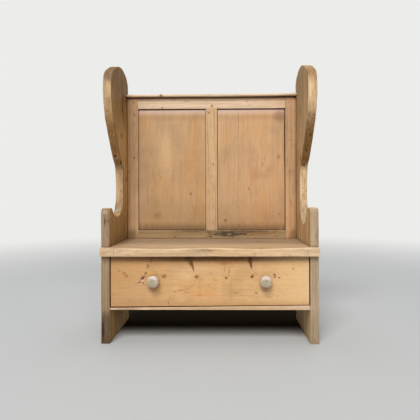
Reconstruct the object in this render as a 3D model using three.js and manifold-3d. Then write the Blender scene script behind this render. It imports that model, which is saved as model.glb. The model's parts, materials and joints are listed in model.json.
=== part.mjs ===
// A pine settle bench: two shaped sides, a housed seat of two boards, a framed and panelled back with a
// cap, and one long drawer with two turned knobs that runs under the seat.
// Sizes are in millimetres. X runs across the bench, Y from its front to its back and Z up from the floor.
// While the pieces are cut, X is 0 in the middle, Y is 0 at the front edges of the sides and Z is 0 at the
// floor; the finished group is then moved so that its origin is the middle of the whole footprint.
import * as THREE from 'three';
import { mergeVertices } from 'three/addons/utils/BufferGeometryUtils.js';
import Module from 'manifold-3d';

const wasm = await Module();
wasm.setup();

// Clearances
const fit = 0.3;
const overrun = 2;

// Sides
const overallWidth = 990;
const sideThickness = 38;
const sideDepth = 370;
const housingDepth = 10;
const armRise = 177;
const armRoundHeight = 29;
const armRoundDepth = 27;
const leftArmDepth = 44;
const rightArmDepth = 76;
const leftNotchDrop = 44;
const rightNotchDrop = 83;
const wingRise = 110.5;

// Seat
const seatHeight = 440;
const seatThickness = 40;
const nosingOverhang = 22.5;
const nosingTopRound = 9;
const nosingBottomRound = 6;
const seatFrontBoardDepth = 150;

// Back
const backRise = 776.5;
const backThickness = 22;
const rebateDepth = 12;
const stileWidth = 60;
const muntinWidth = 60;
const topRailWidth = 58.5;
const bottomRailShow = 45;
const panelThickness = 8;
const panelSetback = 8;
const grooveDepth = 9;
const panelEdgeGap = 2;
const panelJointGap = 0.8;
const narrowBoardShow = 117;
const tenonThickness = 7;
const tenonSetback = 5;
const tenonLength = 42;
const tenonHaunch = 12;
const muntinTenonLength = 30;
const capThickness = 12.5;
const capOverhang = 19;
const capNoseRound = 5;
const lowerBoardGap = 0.8;

// Front rail and drawer runners
const heelRoom = 153.5;
const railSetback = 4;
const railDepth = 60;
const railLeftThickness = 8;
const railRightThickness = 20;
const runnerWidth = 28;
const stopHeight = 24;

// Drawer
const drawerSetback = 7;
const drawerSideGap = 4;
const drawerTopGap = 3.4;
const drawerLeftLift = 5;
const drawerRightLift = 2.5;
const drawerFrontThickness = 22;
const drawerSideThickness = 12;
const drawerBackThickness = 12;
const drawerBackDrop = 12;
const drawerRearSpace = 20;
const drawerLap = 6;
const drawerFloorLift = 14;
const drawerFloorThickness = 9;
const drawerFloorGroove = 6;
const drawerFloorGap = 0.8;
const drawerFloorBoards = 3;
const tailsPerCorner = 4;

// Knobs
const knobDiameter = 58.5;
const knobLength = 39;
const knobNeckDiameter = 27;
const knobBaseDiameter = 33;
const knobSpigotDiameter = 14;
const knobSpigotProud = 2;
const knobInset = 198;

// Pegs and nails
const pegDiameter = 8;
const pegSetIn = 20;
const muntinPegSetIn = 15;
const nailShankDiameter = 2.8;
const nailHeadDiameter = 6.5;
const nailHeadThickness = 1.2;
const nailPointLength = 5;
const seatNailLength = 75;
const backNailLength = 55;
const capNailLength = 40;
const runnerNailLength = 50;
const stopNailLength = 32;
const floorNailLength = 28;

// Shape counts
const stepsPerSpan = 3;
const roundSteps = 5;
const pegSides = 12;
const nailSides = 8;
const knobSides = 24;
const knobSteps = 22;

// Shares, chosen by hand, of the sizes that they follow
const neckDepthShare = 0.69;
// Notch between arm and wing: how far back from the arm to the neck, and how far down to the notch floor.
const notchShares = [
  [0.07, 0.25], [0.14, 0.55], [0.23, 0.79], [0.335, 0.93], [0.46, 1], [0.57, 0.99], [0.7, 0.83],
  [0.8, 0.58], [0.885, 0.27],
];
// Front and top of the wing: how far back across the side, and how far up from the arm to the wing top.
const wingShares = [
  [0.686, 0.056], [0.697, 0.117], [0.688, 0.19], [0.668, 0.262], [0.648, 0.296], [0.598, 0.318],
  [0.54, 0.343], [0.474, 0.39], [0.355, 0.468], [0.257, 0.544], [0.178, 0.604], [0.131, 0.667],
  [0.103, 0.735], [0.095, 0.785], [0.103, 0.835], [0.123, 0.872], [0.152, 0.895], [0.206, 0.918],
  [0.338, 0.957], [0.475, 0.987], [0.608, 1], [0.735, 0.9965], [0.845, 0.982], [0.935, 0.959],
  [1, 0.918],
];
const tailTipShare = 0.66;
const pinRootShare = 0.42;
const tailSlopeShare = 0.16;
const seatNailShares = [0.5, 0.45];
const backNailShares = [0.22, 0.78];
const capNailShares = [-0.66, 0, 0.66];
const runnerNailShares = [0.2, 0.72];
const floorNailShares = [-0.6, 0, 0.6];
// Knob: [radius as a share from neck to rim, distance out as a share of the knob's length].
const knobBackShares = [[0, 0.18], [0.2, 0.27], [0.68, 0.34], [0.95, 0.44], [1, 0.56]];
const knobDomeShares = [[0.985, 0.7], [0.9, 0.83], [0.72, 0.925], [0.4, 0.985]];
const knobOvalShare = 0.93;

// Derived places
const outerHalf = overallWidth / 2;
const innerHalf = outerHalf - sideThickness;
const seatUnder = seatHeight - seatThickness;
const armHeight = seatHeight + armRise;
const capTop = seatHeight + backRise;
const capUnder = capTop - capThickness;
const sideHeight = capTop + wingRise;
const backFront = sideDepth - backThickness;
const frameInner = innerHalf - stileWidth;
const muntinHalf = muntinWidth / 2;
const topRailBottom = capUnder - topRailWidth;
const bottomRailTop = seatHeight + bottomRailShow;
const housedHalf = innerHalf + housingDepth - fit;
const rebatedHalf = innerHalf + rebateDepth - fit;
const drawerHalf = innerHalf - drawerSideGap;
const drawerInnerHalf = drawerHalf - drawerSideThickness;
const drawerTop = seatUnder - drawerTopGap;
const drawerFrontBack = drawerSetback + drawerFrontThickness;
const drawerRear = backFront - drawerRearSpace;
const knobReach = knobLength - drawerSetback;
const footprintMiddle = (sideDepth - Math.max(knobReach, nosingOverhang)) / 2;

// What differs between the two hands: the notch in the side, the rail's end and the drawer's lower edge.
const hands = {
  left: {
    sign: -1, armDepth: leftArmDepth, notchDrop: leftNotchDrop,
    railTop: heelRoom + railLeftThickness, drawerBottom: heelRoom + railLeftThickness + drawerLeftLift,
  },
  right: {
    sign: 1, armDepth: rightArmDepth, notchDrop: rightNotchDrop,
    railTop: heelRoom + railRightThickness, drawerBottom: heelRoom + railRightThickness + drawerRightLift,
  },
};
const drawerFloorBottom = Math.max(hands.left.drawerBottom, hands.right.drawerBottom) + drawerFloorLift;
const drawerFloorTop = drawerFloorBottom + drawerFloorThickness;
const drawerBackTop = drawerTop - drawerBackDrop;
const knobHeight = (drawerTop + (hands.left.drawerBottom + hands.right.drawerBottom) / 2) / 2;
const knobAcross = drawerHalf - knobInset;

// Solids and geometries
function solidOf(geometry) {
  const bare = geometry.clone();
  bare.deleteAttribute('normal');
  bare.deleteAttribute('uv');
  const merged = mergeVertices(bare.index ? bare.toNonIndexed() : bare);
  const vertProperties = new Float32Array(merged.attributes.position.array);
  const triVerts = new Uint32Array(merged.index.array);
  return new wasm.Manifold(new wasm.Mesh({ numProp: 3, vertProperties, triVerts }));
}

function geometryOf(solid) {
  const mesh = solid.getMesh();
  const geometry = new THREE.BufferGeometry();
  geometry.setAttribute('position', new THREE.Float32BufferAttribute(mesh.vertProperties, 3));
  geometry.setIndex(Array.from(mesh.triVerts));
  const flat = geometry.toNonIndexed();
  flat.computeVertexNormals();
  return flat;
}

// A block between two limits along each axis.
function block([x0, x1], [y0, y1], [z0, z1]) {
  const box = new THREE.BoxGeometry(x1 - x0, y1 - y0, z1 - z0);
  box.translate(middleOf([x0, x1]), middleOf([y0, y1]), middleOf([z0, z1]));
  return solidOf(box);
}

// The limits a to b on one hand of the bench, lowest first.
function span(hand, a, b) {
  return [hand.sign * a, hand.sign * b].sort((low, high) => low - high);
}

// Limits opened by the clearance at each end.
function looser([low, high]) {
  return [low - fit, high + fit];
}

function middleOf([low, high]) {
  return (low + high) / 2;
}

function extrude(shape, depth) {
  return new THREE.ExtrudeGeometry(shape, { depth, bevelEnabled: false, curveSegments: roundSteps });
}

// An outline of (Y, Z) points, run along X between two limits.
function alongX(shape, [x0, x1]) {
  const axes = new THREE.Matrix4().makeBasis(
    new THREE.Vector3(0, 1, 0), new THREE.Vector3(0, 0, 1), new THREE.Vector3(1, 0, 0),
  );
  return solidOf(extrude(shape, x1 - x0).applyMatrix4(axes).translate(x0, 0, 0));
}

// An outline of (X, Z) points, run along Y between two limits.
function alongY(shape, [y0, y1]) {
  const axes = new THREE.Matrix4().makeBasis(
    new THREE.Vector3(1, 0, 0), new THREE.Vector3(0, 0, 1), new THREE.Vector3(0, -1, 0),
  );
  return solidOf(extrude(shape, y1 - y0).applyMatrix4(axes).translate(0, y1, 0));
}

function polygon(points) {
  return new THREE.Shape(points.map(([a, b]) => new THREE.Vector2(a, b)));
}

// A round rod from one end point along a unit direction.
function rod(start, direction, radius, length, sides) {
  const cylinder = new THREE.CylinderGeometry(radius, radius, length, sides);
  const turn = new THREE.Quaternion().setFromUnitVectors(new THREE.Vector3(0, 1, 0), direction);
  const middle = start.clone().addScaledVector(direction, length / 2);
  cylinder.applyQuaternion(turn).translate(middle.x, middle.y, middle.z);
  return solidOf(cylinder);
}

function without(solid, cutters) {
  return cutters.reduce((left, cutter) => left.subtract(cutter), solid);
}

function joined(solid, others) {
  return others.reduce((sum, other) => sum.add(other), solid);
}

// Finishes: every mesh has a material of its own.
const looks = {
  sidePine: { color: 0xb08a5e, roughness: 0.55, metalness: 0 },
  seatPine: { color: 0xa88661, roughness: 0.5, metalness: 0 },
  framePine: { color: 0xc79a6b, roughness: 0.55, metalness: 0 },
  panelPine: { color: 0xbd8a58, roughness: 0.5, metalness: 0 },
  drawerPine: { color: 0xc9975f, roughness: 0.5, metalness: 0 },
  barePine: { color: 0xb79468, roughness: 0.8, metalness: 0 },
  knobWood: { color: 0xb7a493, roughness: 0.6, metalness: 0 },
  iron: { color: 0x4a4440, roughness: 0.7, metalness: 0.9 },
};

function place(group, name, geometry, look) {
  const mesh = new THREE.Mesh(geometry, new THREE.MeshStandardMaterial(looks[look]));
  mesh.name = name;
  group.add(mesh);
  return mesh;
}

function placeSolid(group, name, solid, look) {
  return place(group, name, geometryOf(solid), look);
}

// Nails: each has a head, a shank and a point, and runs into the wood from its head, which lies flush.
const directions = {
  left: new THREE.Vector3(-1, 0, 0),
  right: new THREE.Vector3(1, 0, 0),
  forward: new THREE.Vector3(0, -1, 0),
  down: new THREE.Vector3(0, 0, -1),
  up: new THREE.Vector3(0, 0, 1),
};

function nailGeometry(length) {
  const shank = nailShankDiameter / 2;
  const head = nailHeadDiameter / 2;
  const profile = [
    [0, 0], [head, 0], [head, nailHeadThickness], [shank, nailHeadThickness],
    [shank, length - nailPointLength], [0, length],
  ];
  return new THREE.LatheGeometry(profile.map(([r, y]) => new THREE.Vector2(r, y)), nailSides);
}

function nailHole(nail) {
  const start = nail.at.clone().addScaledVector(nail.way, -overrun);
  const bore = rod(start, nail.way, nailShankDiameter / 2 + fit, nail.length + fit + overrun, nailSides);
  const sink = rod(start, nail.way, nailHeadDiameter / 2 + fit, nailHeadThickness + fit + overrun, nailSides);
  return bore.add(sink);
}

function placeNail(group, name, nail) {
  const mesh = place(group, name, nailGeometry(nail.length), 'iron');
  mesh.position.copy(nail.at);
  mesh.quaternion.setFromUnitVectors(new THREE.Vector3(0, 1, 0), nail.way);
}

// Nail places
const seatNailDepths = [
  seatFrontBoardDepth * seatNailShares[0],
  seatFrontBoardDepth + (backFront - seatFrontBoardDepth) * seatNailShares[1],
];

function seatNails(hand) {
  return seatNailDepths.map((y) => ({
    at: new THREE.Vector3(hand.sign * outerHalf, y, seatUnder + seatThickness / 2),
    way: hand.sign > 0 ? directions.left : directions.right,
    length: seatNailLength,
  }));
}

function backNail(hand, z) {
  const at = new THREE.Vector3(hand.sign * (innerHalf + rebateDepth / 2), sideDepth, z);
  return { at, way: directions.forward, length: backNailLength };
}

function stileNails(hand) {
  return backNailShares.map((share) => backNail(hand, seatUnder + (capUnder - seatUnder) * share));
}

const lowerBoardHeight = (seatUnder - fit - heelRoom - lowerBoardGap) / 2;
const lowerBoards = [
  { name: 'lower_back_bottom_board', z: [heelRoom, heelRoom + lowerBoardHeight] },
  { name: 'lower_back_top_board', z: [seatUnder - fit - lowerBoardHeight, seatUnder - fit] },
];

function lowerBoardNail(hand, board) {
  return backNail(hand, middleOf(board.z));
}

const capNails = capNailShares.map((share) => ({
  at: new THREE.Vector3(share * frameInner, backFront + backThickness / 2, capTop),
  way: directions.down,
  length: capNailLength,
}));

const runnerFront = railSetback + railDepth + fit;
const runnerBack = backFront - fit;

function runnerNails(hand) {
  const z = middleOf([heelRoom, hand.drawerBottom - fit]);
  return runnerNailShares.map((share) => ({
    at: new THREE.Vector3(
      hand.sign * (innerHalf - runnerWidth), runnerFront + (runnerBack - runnerFront) * share, z,
    ),
    way: hand.sign > 0 ? directions.right : directions.left,
    length: runnerNailLength,
  }));
}

function stopNail(hand) {
  const top = hand.drawerBottom - fit + stopHeight;
  return {
    at: new THREE.Vector3(
      hand.sign * (innerHalf - runnerWidth / 2), middleOf([drawerRear + fit, runnerBack]), top,
    ),
    way: directions.down,
    length: stopNailLength,
  };
}

const floorNails = floorNailShares.map((share) => ({
  at: new THREE.Vector3(share * drawerInnerHalf, drawerRear - drawerBackThickness / 2, drawerFloorBottom),
  way: directions.up,
  length: floorNailLength,
}));

// Sides
// The outline runs up the front edge, over the arm, down through the notch, up the front of the wing,
// over its rounded top and down the straight back edge.
function sideOutline(hand) {
  const neckDepth = sideDepth * neckDepthShare;
  const notch = notchShares.map(([back, down]) => new THREE.Vector2(
    hand.armDepth + (neckDepth - hand.armDepth) * back,
    armHeight - hand.notchDrop * down,
  ));
  const wing = wingShares.map(([back, up]) => new THREE.Vector2(
    sideDepth * back,
    armHeight + (sideHeight - armHeight) * up,
  ));
  const armEnd = new THREE.Vector2(hand.armDepth, armHeight);
  const stations = [armEnd, ...notch, ...wing];
  const edge = new THREE.SplineCurve(stations).getPoints(stepsPerSpan * (stations.length - 1));
  const shape = new THREE.Shape();
  shape.moveTo(0, 0);
  shape.lineTo(0, armHeight - armRoundHeight);
  shape.quadraticCurveTo(0, armHeight, armRoundDepth, armHeight);
  edge.forEach((point) => shape.lineTo(point.x, point.y));
  shape.lineTo(sideDepth, 0);
  shape.closePath();
  return shape;
}

function side(hand) {
  const housing = span(hand, innerHalf - overrun, innerHalf + housingDepth);
  const rebate = span(hand, innerHalf - overrun, innerHalf + rebateDepth);
  const seatHousing = block(housing, [-overrun, backFront], [seatUnder - fit, seatHeight + fit]);
  const railHousing = block(
    housing, [railSetback - fit, railSetback + railDepth + fit], [heelRoom - fit, hand.railTop + fit],
  );
  const backRebate = block(rebate, [backFront, sideDepth + overrun], [heelRoom - fit, capUnder + fit]);
  const nails = [
    ...seatNails(hand), ...stileNails(hand), ...runnerNails(hand),
    ...lowerBoards.map((board) => lowerBoardNail(hand, board)),
  ];
  const board = alongX(sideOutline(hand), span(hand, innerHalf, outerHalf));
  return without(board, [seatHousing, railHousing, backRebate, ...nails.map(nailHole)]);
}

// Seat
// Section of the front board, with its nosing rounded above and below.
function nosingSection() {
  const front = -nosingOverhang;
  const shape = new THREE.Shape();
  shape.moveTo(seatFrontBoardDepth, seatUnder);
  shape.lineTo(seatFrontBoardDepth, seatHeight);
  shape.lineTo(front + nosingTopRound, seatHeight);
  shape.quadraticCurveTo(front, seatHeight, front, seatHeight - nosingTopRound);
  shape.lineTo(front, seatUnder + nosingBottomRound);
  shape.quadraticCurveTo(front, seatUnder, front + nosingBottomRound, seatUnder);
  shape.closePath();
  return shape;
}

function seatFrontBoard() {
  const shoulders = Object.values(hands).map((hand) => block(
    span(hand, housedHalf, outerHalf + overrun),
    [0, seatFrontBoardDepth + overrun],
    [seatUnder - overrun, seatHeight + overrun],
  ));
  const nails = Object.values(hands).map((hand) => nailHole(seatNails(hand)[0]));
  return without(alongX(nosingSection(), [-outerHalf, outerHalf]), [...shoulders, ...nails]);
}

function seatRearBoard() {
  const depth = [seatFrontBoardDepth, backFront - fit];
  const board = block([-housedHalf, housedHalf], depth, [seatUnder, seatHeight]);
  return without(board, Object.values(hands).map((hand) => nailHole(seatNails(hand)[1])));
}

// Back
const tenonY = [backFront + tenonSetback, backFront + tenonSetback + tenonThickness];
const panelY = [backFront + panelSetback, backFront + panelSetback + panelThickness];
const grooveY = [panelY[0] - fit, panelY[1] + fit];
const topTenonZ = [topRailBottom + grooveDepth, capUnder - tenonHaunch];
const bottomTenonZ = [seatUnder + tenonHaunch, bottomRailTop - grooveDepth];
const muntinTenonHalf = muntinHalf - grooveDepth;

const pegs = [
  ...Object.entries(hands).flatMap(([name, hand]) => [
    { name: `peg_top_${name}`, x: hand.sign * (frameInner + pegSetIn), z: middleOf(topTenonZ) },
    { name: `peg_bottom_${name}`, x: hand.sign * (frameInner + pegSetIn), z: middleOf(bottomTenonZ) },
  ]),
  { name: 'peg_muntin_top', x: 0, z: topRailBottom + muntinPegSetIn },
  { name: 'peg_muntin_bottom', x: 0, z: bottomRailTop - muntinPegSetIn },
];

const pegHoles = pegs.map((peg) => rod(
  new THREE.Vector3(peg.x, backFront - overrun, peg.z), new THREE.Vector3(0, 1, 0),
  pegDiameter / 2 + fit, backThickness + 2 * overrun, pegSides,
));

function stile(hand) {
  const board = block(span(hand, frameInner, rebatedHalf), [backFront, sideDepth], [seatUnder, capUnder]);
  const mortise = span(hand, frameInner - overrun, frameInner + tenonLength + fit);
  const groove = block(
    span(hand, frameInner - overrun, frameInner + grooveDepth), grooveY,
    [bottomRailTop - grooveDepth, topRailBottom + grooveDepth],
  );
  return without(board, [
    groove,
    block(mortise, looser(tenonY), looser(topTenonZ)),
    block(mortise, looser(tenonY), looser(bottomTenonZ)),
    ...pegHoles,
    ...stileNails(hand).map(nailHole),
  ]);
}

// A rail between the stiles, from the limits in Z of its board, tenons, panel groove and muntin mortise.
function rail(z, tenonZ, grooveZ, mortiseZ, nails) {
  const tenons = block([-frameInner - tenonLength, frameInner + tenonLength], tenonY, tenonZ);
  const board = joined(block([-frameInner, frameInner], [backFront, sideDepth], z), [tenons]);
  const groove = block([-frameInner - overrun, frameInner + overrun], grooveY, grooveZ);
  const mortise = block([-muntinTenonHalf - fit, muntinTenonHalf + fit], looser(tenonY), mortiseZ);
  return without(board, [groove, mortise, ...pegHoles, ...nails.map(nailHole)]);
}

function topRail() {
  return rail(
    [topRailBottom, capUnder], topTenonZ, [topRailBottom - overrun, topRailBottom + grooveDepth],
    [topRailBottom - overrun, topRailBottom + muntinTenonLength + fit], capNails,
  );
}

function bottomRail() {
  return rail(
    [seatUnder, bottomRailTop], bottomTenonZ, [bottomRailTop - grooveDepth, bottomRailTop + overrun],
    [bottomRailTop - muntinTenonLength - fit, bottomRailTop + overrun], [],
  );
}

function muntin() {
  const post = block([-muntinHalf, muntinHalf], [backFront, sideDepth], [bottomRailTop, topRailBottom]);
  const tenons = block(
    [-muntinTenonHalf, muntinTenonHalf], tenonY,
    [bottomRailTop - muntinTenonLength, topRailBottom + muntinTenonLength],
  );
  const grooves = Object.values(hands).map((hand) => block(
    span(hand, muntinTenonHalf, muntinHalf + overrun), grooveY,
    [bottomRailTop - overrun, topRailBottom + overrun],
  ));
  return without(joined(post, [tenons]), [...grooves, ...pegHoles]);
}

// Panels stand loose in their grooves, with room to swell at every edge.
const panelTuck = grooveDepth - panelEdgeGap;
const panelZ = [bottomRailTop - panelTuck, topRailBottom + panelTuck];
const panelOuter = frameInner + panelTuck;
const panelInner = muntinHalf - panelTuck;
const panelJoint = muntinHalf + narrowBoardShow;
const panelBoards = [
  { name: 'panel_left', x: [-panelOuter, -panelInner] },
  { name: 'panel_right_narrow_board', x: [panelInner, panelJoint - panelJointGap] },
  { name: 'panel_right_wide_board', x: [panelJoint, panelOuter] },
];

function capSection() {
  const front = backFront - capOverhang;
  const shape = new THREE.Shape();
  shape.moveTo(sideDepth, capUnder);
  shape.lineTo(sideDepth, capTop);
  shape.lineTo(front + capNoseRound, capTop);
  shape.quadraticCurveTo(front, capTop, front, capTop - capNoseRound);
  shape.lineTo(front, capUnder + capNoseRound);
  shape.quadraticCurveTo(front, capUnder, front + capNoseRound, capUnder);
  shape.closePath();
  return shape;
}

function cap() {
  return without(alongX(capSection(), [-innerHalf + fit, innerHalf - fit]), capNails.map(nailHole));
}

function lowerBackBoard(board) {
  const plank = block([-rebatedHalf, rebatedHalf], [backFront, sideDepth], board.z);
  return without(plank, Object.values(hands).map((hand) => nailHole(lowerBoardNail(hand, board))));
}

// Front rail, runners and stops
// The rail's upper edge slopes between the sides and is level inside the housings.
function frontRail() {
  const { left, right } = hands;
  return alongY(polygon([
    [-housedHalf, heelRoom], [housedHalf, heelRoom], [housedHalf, right.railTop],
    [innerHalf, right.railTop], [-innerHalf, left.railTop], [-housedHalf, left.railTop],
  ]), [railSetback, railSetback + railDepth]);
}

function runner(hand) {
  const across = span(hand, innerHalf - runnerWidth, innerHalf);
  const strip = block(across, [runnerFront, runnerBack], [heelRoom, hand.drawerBottom - fit]);
  return without(strip, [...runnerNails(hand), stopNail(hand)].map(nailHole));
}

function drawerStop(hand) {
  const across = span(hand, innerHalf - runnerWidth, innerHalf);
  const base = hand.drawerBottom - fit;
  const strip = block(across, [drawerRear + fit, runnerBack], [base, base + stopHeight]);
  return without(strip, [nailHole(stopNail(hand))]);
}

// Drawer
const drawerFloorY = [drawerFrontBack - drawerFloorGroove, drawerRear];
const drawerFloorHalf = drawerInnerHalf + drawerFloorGroove;

// The slot that the drawer's floor boards need in the front and the two sides.
function floorSlot() {
  return block(
    [-drawerFloorHalf, drawerFloorHalf], [drawerFloorY[0], drawerRear + overrun],
    looser([drawerFloorBottom, drawerFloorTop]),
  );
}

// Dovetail outlines in the (Y, Z) plane, evenly spaced between two heights. Each is a wedge from its wide
// end to its narrow end, grown by a clearance.
function wedges(wideY, narrowY, [z0, z1], wideShare, grow) {
  const pitch = (z1 - z0) / tailsPerCorner;
  const wideHalf = pitch * wideShare / 2;
  const narrowHalf = wideHalf - Math.abs(wideY - narrowY) * tailSlopeShare;
  const corners = (middle) => {
    const points = [
      [narrowY, middle - narrowHalf - grow], [wideY, middle - wideHalf - grow],
      [wideY, middle + wideHalf + grow], [narrowY, middle + narrowHalf + grow],
    ];
    return narrowY > wideY ? points.reverse() : points;
  };
  return Array.from({ length: tailsPerCorner }, (_, i) => polygon(corners(z0 + pitch / 2 + i * pitch)));
}

// Tails of a drawer side, lapped by the drawer front, or with a clearance their sockets in it.
function frontTails(hand, grow) {
  const tip = drawerSetback + drawerLap - grow;
  return wedges(tip, drawerFrontBack + fit + overrun, [hand.drawerBottom, drawerTop], tailTipShare, grow);
}

// Pins of the drawer back, or with a clearance their sockets in a drawer side.
function backPins(grow) {
  const root = drawerRear - drawerBackThickness - grow;
  const end = drawerRear + (grow > 0 ? overrun : 0);
  return wedges(root, end, [drawerFloorTop + fit, drawerBackTop], pinRootShare, grow);
}

function drawerFront() {
  const { left, right } = hands;
  const board = alongY(polygon([
    [-drawerHalf, left.drawerBottom], [drawerHalf, right.drawerBottom],
    [drawerHalf, drawerTop], [-drawerHalf, drawerTop],
  ]), [drawerSetback, drawerFrontBack]);
  const sockets = Object.values(hands).flatMap((hand) => {
    const across = span(hand, drawerInnerHalf - fit, drawerHalf + overrun);
    return frontTails(hand, fit).map((shape) => alongX(shape, across));
  });
  const holes = Object.values(hands).map((hand) => rod(
    new THREE.Vector3(hand.sign * knobAcross, drawerSetback - overrun, knobHeight),
    new THREE.Vector3(0, 1, 0), knobSpigotDiameter / 2 + fit, drawerFrontThickness + 2 * overrun, knobSides,
  ));
  return without(board, [...sockets, ...holes, floorSlot()]);
}

function drawerSide(hand) {
  const across = span(hand, drawerInnerHalf, drawerHalf);
  const board = block(across, [drawerFrontBack + fit, drawerRear], [hand.drawerBottom, drawerTop]);
  const tails = frontTails(hand, 0).map((shape) => alongX(shape, across));
  const pinSockets = backPins(fit).map((shape) => alongX(shape, across));
  return without(joined(board, tails), [...pinSockets, floorSlot()]);
}

function drawerBack() {
  const y = [drawerRear - drawerBackThickness, drawerRear];
  const half = drawerInnerHalf - fit;
  const board = block([-half, half], y, [drawerFloorTop + fit, drawerBackTop]);
  const pins = Object.values(hands).flatMap((hand) => (
    backPins(0).map((shape) => alongX(shape, span(hand, drawerInnerHalf - fit - overrun, drawerHalf)))
  ));
  return without(joined(board, pins), floorNails.map(nailHole));
}

// The floor is boards laid side by side, their grain running from front to back.
function drawerFloorBoard(index) {
  const half = drawerFloorHalf - fit;
  const width = (2 * half - (drawerFloorBoards - 1) * drawerFloorGap) / drawerFloorBoards;
  const start = -half + index * (width + drawerFloorGap);
  const board = block(
    [start, start + width], [drawerFloorY[0] + fit, drawerFloorY[1]], [drawerFloorBottom, drawerFloorTop],
  );
  return without(board, floorNails.map(nailHole));
}

// Knob: turned about its own axis, slightly oval from shrinking, with a spigot through the drawer front.
function knobSolid() {
  const neck = knobNeckDiameter / 2;
  const rim = knobDiameter / 2;
  const base = knobBaseDiameter / 2;
  const out = (share) => -knobLength * share;
  const swell = ([share, away]) => new THREE.Vector2(neck + (rim - neck) * share, out(away));
  const dome = ([share, away]) => new THREE.Vector2(rim * share, out(away));
  const tip = new THREE.Vector2(0, out(1));
  const flank = new THREE.SplineCurve([
    new THREE.Vector2(base, 0), ...knobBackShares.map(swell), ...knobDomeShares.map(dome), tip,
  ]).getPoints(knobSteps);
  const profile = [tip, ...flank.slice(0, -1).reverse(), new THREE.Vector2(0, 0)];
  const head = new THREE.LatheGeometry(profile, knobSides).scale(knobOvalShare, 1, 1);
  const spigotLength = drawerFrontThickness + knobSpigotProud;
  const spigot = rod(
    new THREE.Vector3(0, -overrun, 0), new THREE.Vector3(0, 1, 0),
    knobSpigotDiameter / 2, spigotLength + overrun, knobSides,
  );
  return solidOf(head).add(spigot);
}

// Assembly
const bench = new THREE.Group();
bench.name = 'settle_bench';
const carcass = new THREE.Group();
const back = new THREE.Group();
const drawer = new THREE.Group();
bench.add(carcass, back, drawer);

placeSolid(carcass, 'seat_front_board', seatFrontBoard(), 'seatPine');
placeSolid(carcass, 'seat_rear_board', seatRearBoard(), 'seatPine');
placeSolid(carcass, 'front_rail', frontRail(), 'drawerPine');

placeSolid(back, 'back_top_rail', topRail(), 'framePine');
placeSolid(back, 'back_bottom_rail', bottomRail(), 'framePine');
placeSolid(back, 'back_muntin', muntin(), 'framePine');
placeSolid(back, 'back_cap', cap(), 'framePine');
panelBoards.forEach((board) => placeSolid(back, board.name, block(board.x, panelY, panelZ), 'panelPine'));
lowerBoards.forEach((board) => placeSolid(back, board.name, lowerBackBoard(board), 'barePine'));
capNails.forEach((nail, i) => placeNail(back, `cap_nail_${i + 1}`, nail));
pegs.forEach((peg) => {
  const geometry = new THREE.CylinderGeometry(pegDiameter / 2, pegDiameter / 2, backThickness, pegSides);
  const mesh = place(back, peg.name, geometry, 'framePine');
  mesh.position.set(peg.x, backFront + backThickness / 2, peg.z);
});

placeSolid(drawer, 'drawer_front', drawerFront(), 'drawerPine');
placeSolid(drawer, 'drawer_back', drawerBack(), 'barePine');
['left', 'middle', 'right'].forEach((name, i) => {
  placeSolid(drawer, `drawer_floor_${name}`, drawerFloorBoard(i), 'barePine');
});
floorNails.forEach((nail, i) => placeNail(drawer, `drawer_floor_nail_${i + 1}`, nail));

const knobGeometry = geometryOf(knobSolid());
Object.entries(hands).forEach(([name, hand]) => {
  placeSolid(carcass, `${name}_side`, side(hand), 'sidePine');
  placeSolid(carcass, `${name}_runner`, runner(hand), 'barePine');
  placeSolid(carcass, `${name}_drawer_stop`, drawerStop(hand), 'barePine');
  placeSolid(back, `back_${name}_stile`, stile(hand), 'framePine');
  placeSolid(drawer, `drawer_${name}_side`, drawerSide(hand), 'barePine');
  seatNails(hand).forEach((nail, i) => placeNail(carcass, `${name}_seat_nail_${i + 1}`, nail));
  runnerNails(hand).forEach((nail, i) => placeNail(carcass, `${name}_runner_nail_${i + 1}`, nail));
  placeNail(carcass, `${name}_stop_nail`, stopNail(hand));
  stileNails(hand).forEach((nail, i) => placeNail(back, `${name}_stile_nail_${i + 1}`, nail));
  lowerBoards.forEach((board, i) => {
    placeNail(back, `${name}_lower_back_nail_${i + 1}`, lowerBoardNail(hand, board));
  });
  const knob = place(drawer, `${name}_knob`, knobGeometry, 'knobWood');
  knob.position.set(hand.sign * knobAcross, drawerSetback, knobHeight);
});

bench.position.y = -footprintMiddle;

export default bench;
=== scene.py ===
"""A settle bench of old waxed pine: two shaped sides, a plank seat, a framed and panelled back with a cap,
and one long drawer with two turned knobs.

Lengths are in metres. X runs across the bench, Y from its front to its back and Z up from the floor.
"""

import json
import math

import bpy
import numpy as np
from mathutils import Matrix, Vector

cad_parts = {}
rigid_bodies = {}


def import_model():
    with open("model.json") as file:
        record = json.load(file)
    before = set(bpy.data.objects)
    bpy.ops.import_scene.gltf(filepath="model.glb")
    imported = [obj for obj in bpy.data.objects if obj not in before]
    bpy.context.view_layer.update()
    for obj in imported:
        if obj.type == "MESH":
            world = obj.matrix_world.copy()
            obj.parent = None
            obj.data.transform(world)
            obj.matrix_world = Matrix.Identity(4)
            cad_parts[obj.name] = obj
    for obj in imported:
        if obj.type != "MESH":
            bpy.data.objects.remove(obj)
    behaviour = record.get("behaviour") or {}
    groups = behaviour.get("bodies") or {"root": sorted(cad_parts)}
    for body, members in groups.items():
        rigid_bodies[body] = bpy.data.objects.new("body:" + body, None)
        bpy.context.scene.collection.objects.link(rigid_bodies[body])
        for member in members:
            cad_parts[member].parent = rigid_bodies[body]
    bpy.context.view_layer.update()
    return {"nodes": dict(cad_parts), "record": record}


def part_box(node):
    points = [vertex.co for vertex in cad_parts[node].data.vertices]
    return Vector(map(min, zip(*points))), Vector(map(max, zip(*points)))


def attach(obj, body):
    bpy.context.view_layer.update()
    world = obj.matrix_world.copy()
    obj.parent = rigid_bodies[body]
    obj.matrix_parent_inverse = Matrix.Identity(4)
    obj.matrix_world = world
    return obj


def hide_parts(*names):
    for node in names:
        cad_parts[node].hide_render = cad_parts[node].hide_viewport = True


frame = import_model()
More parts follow.
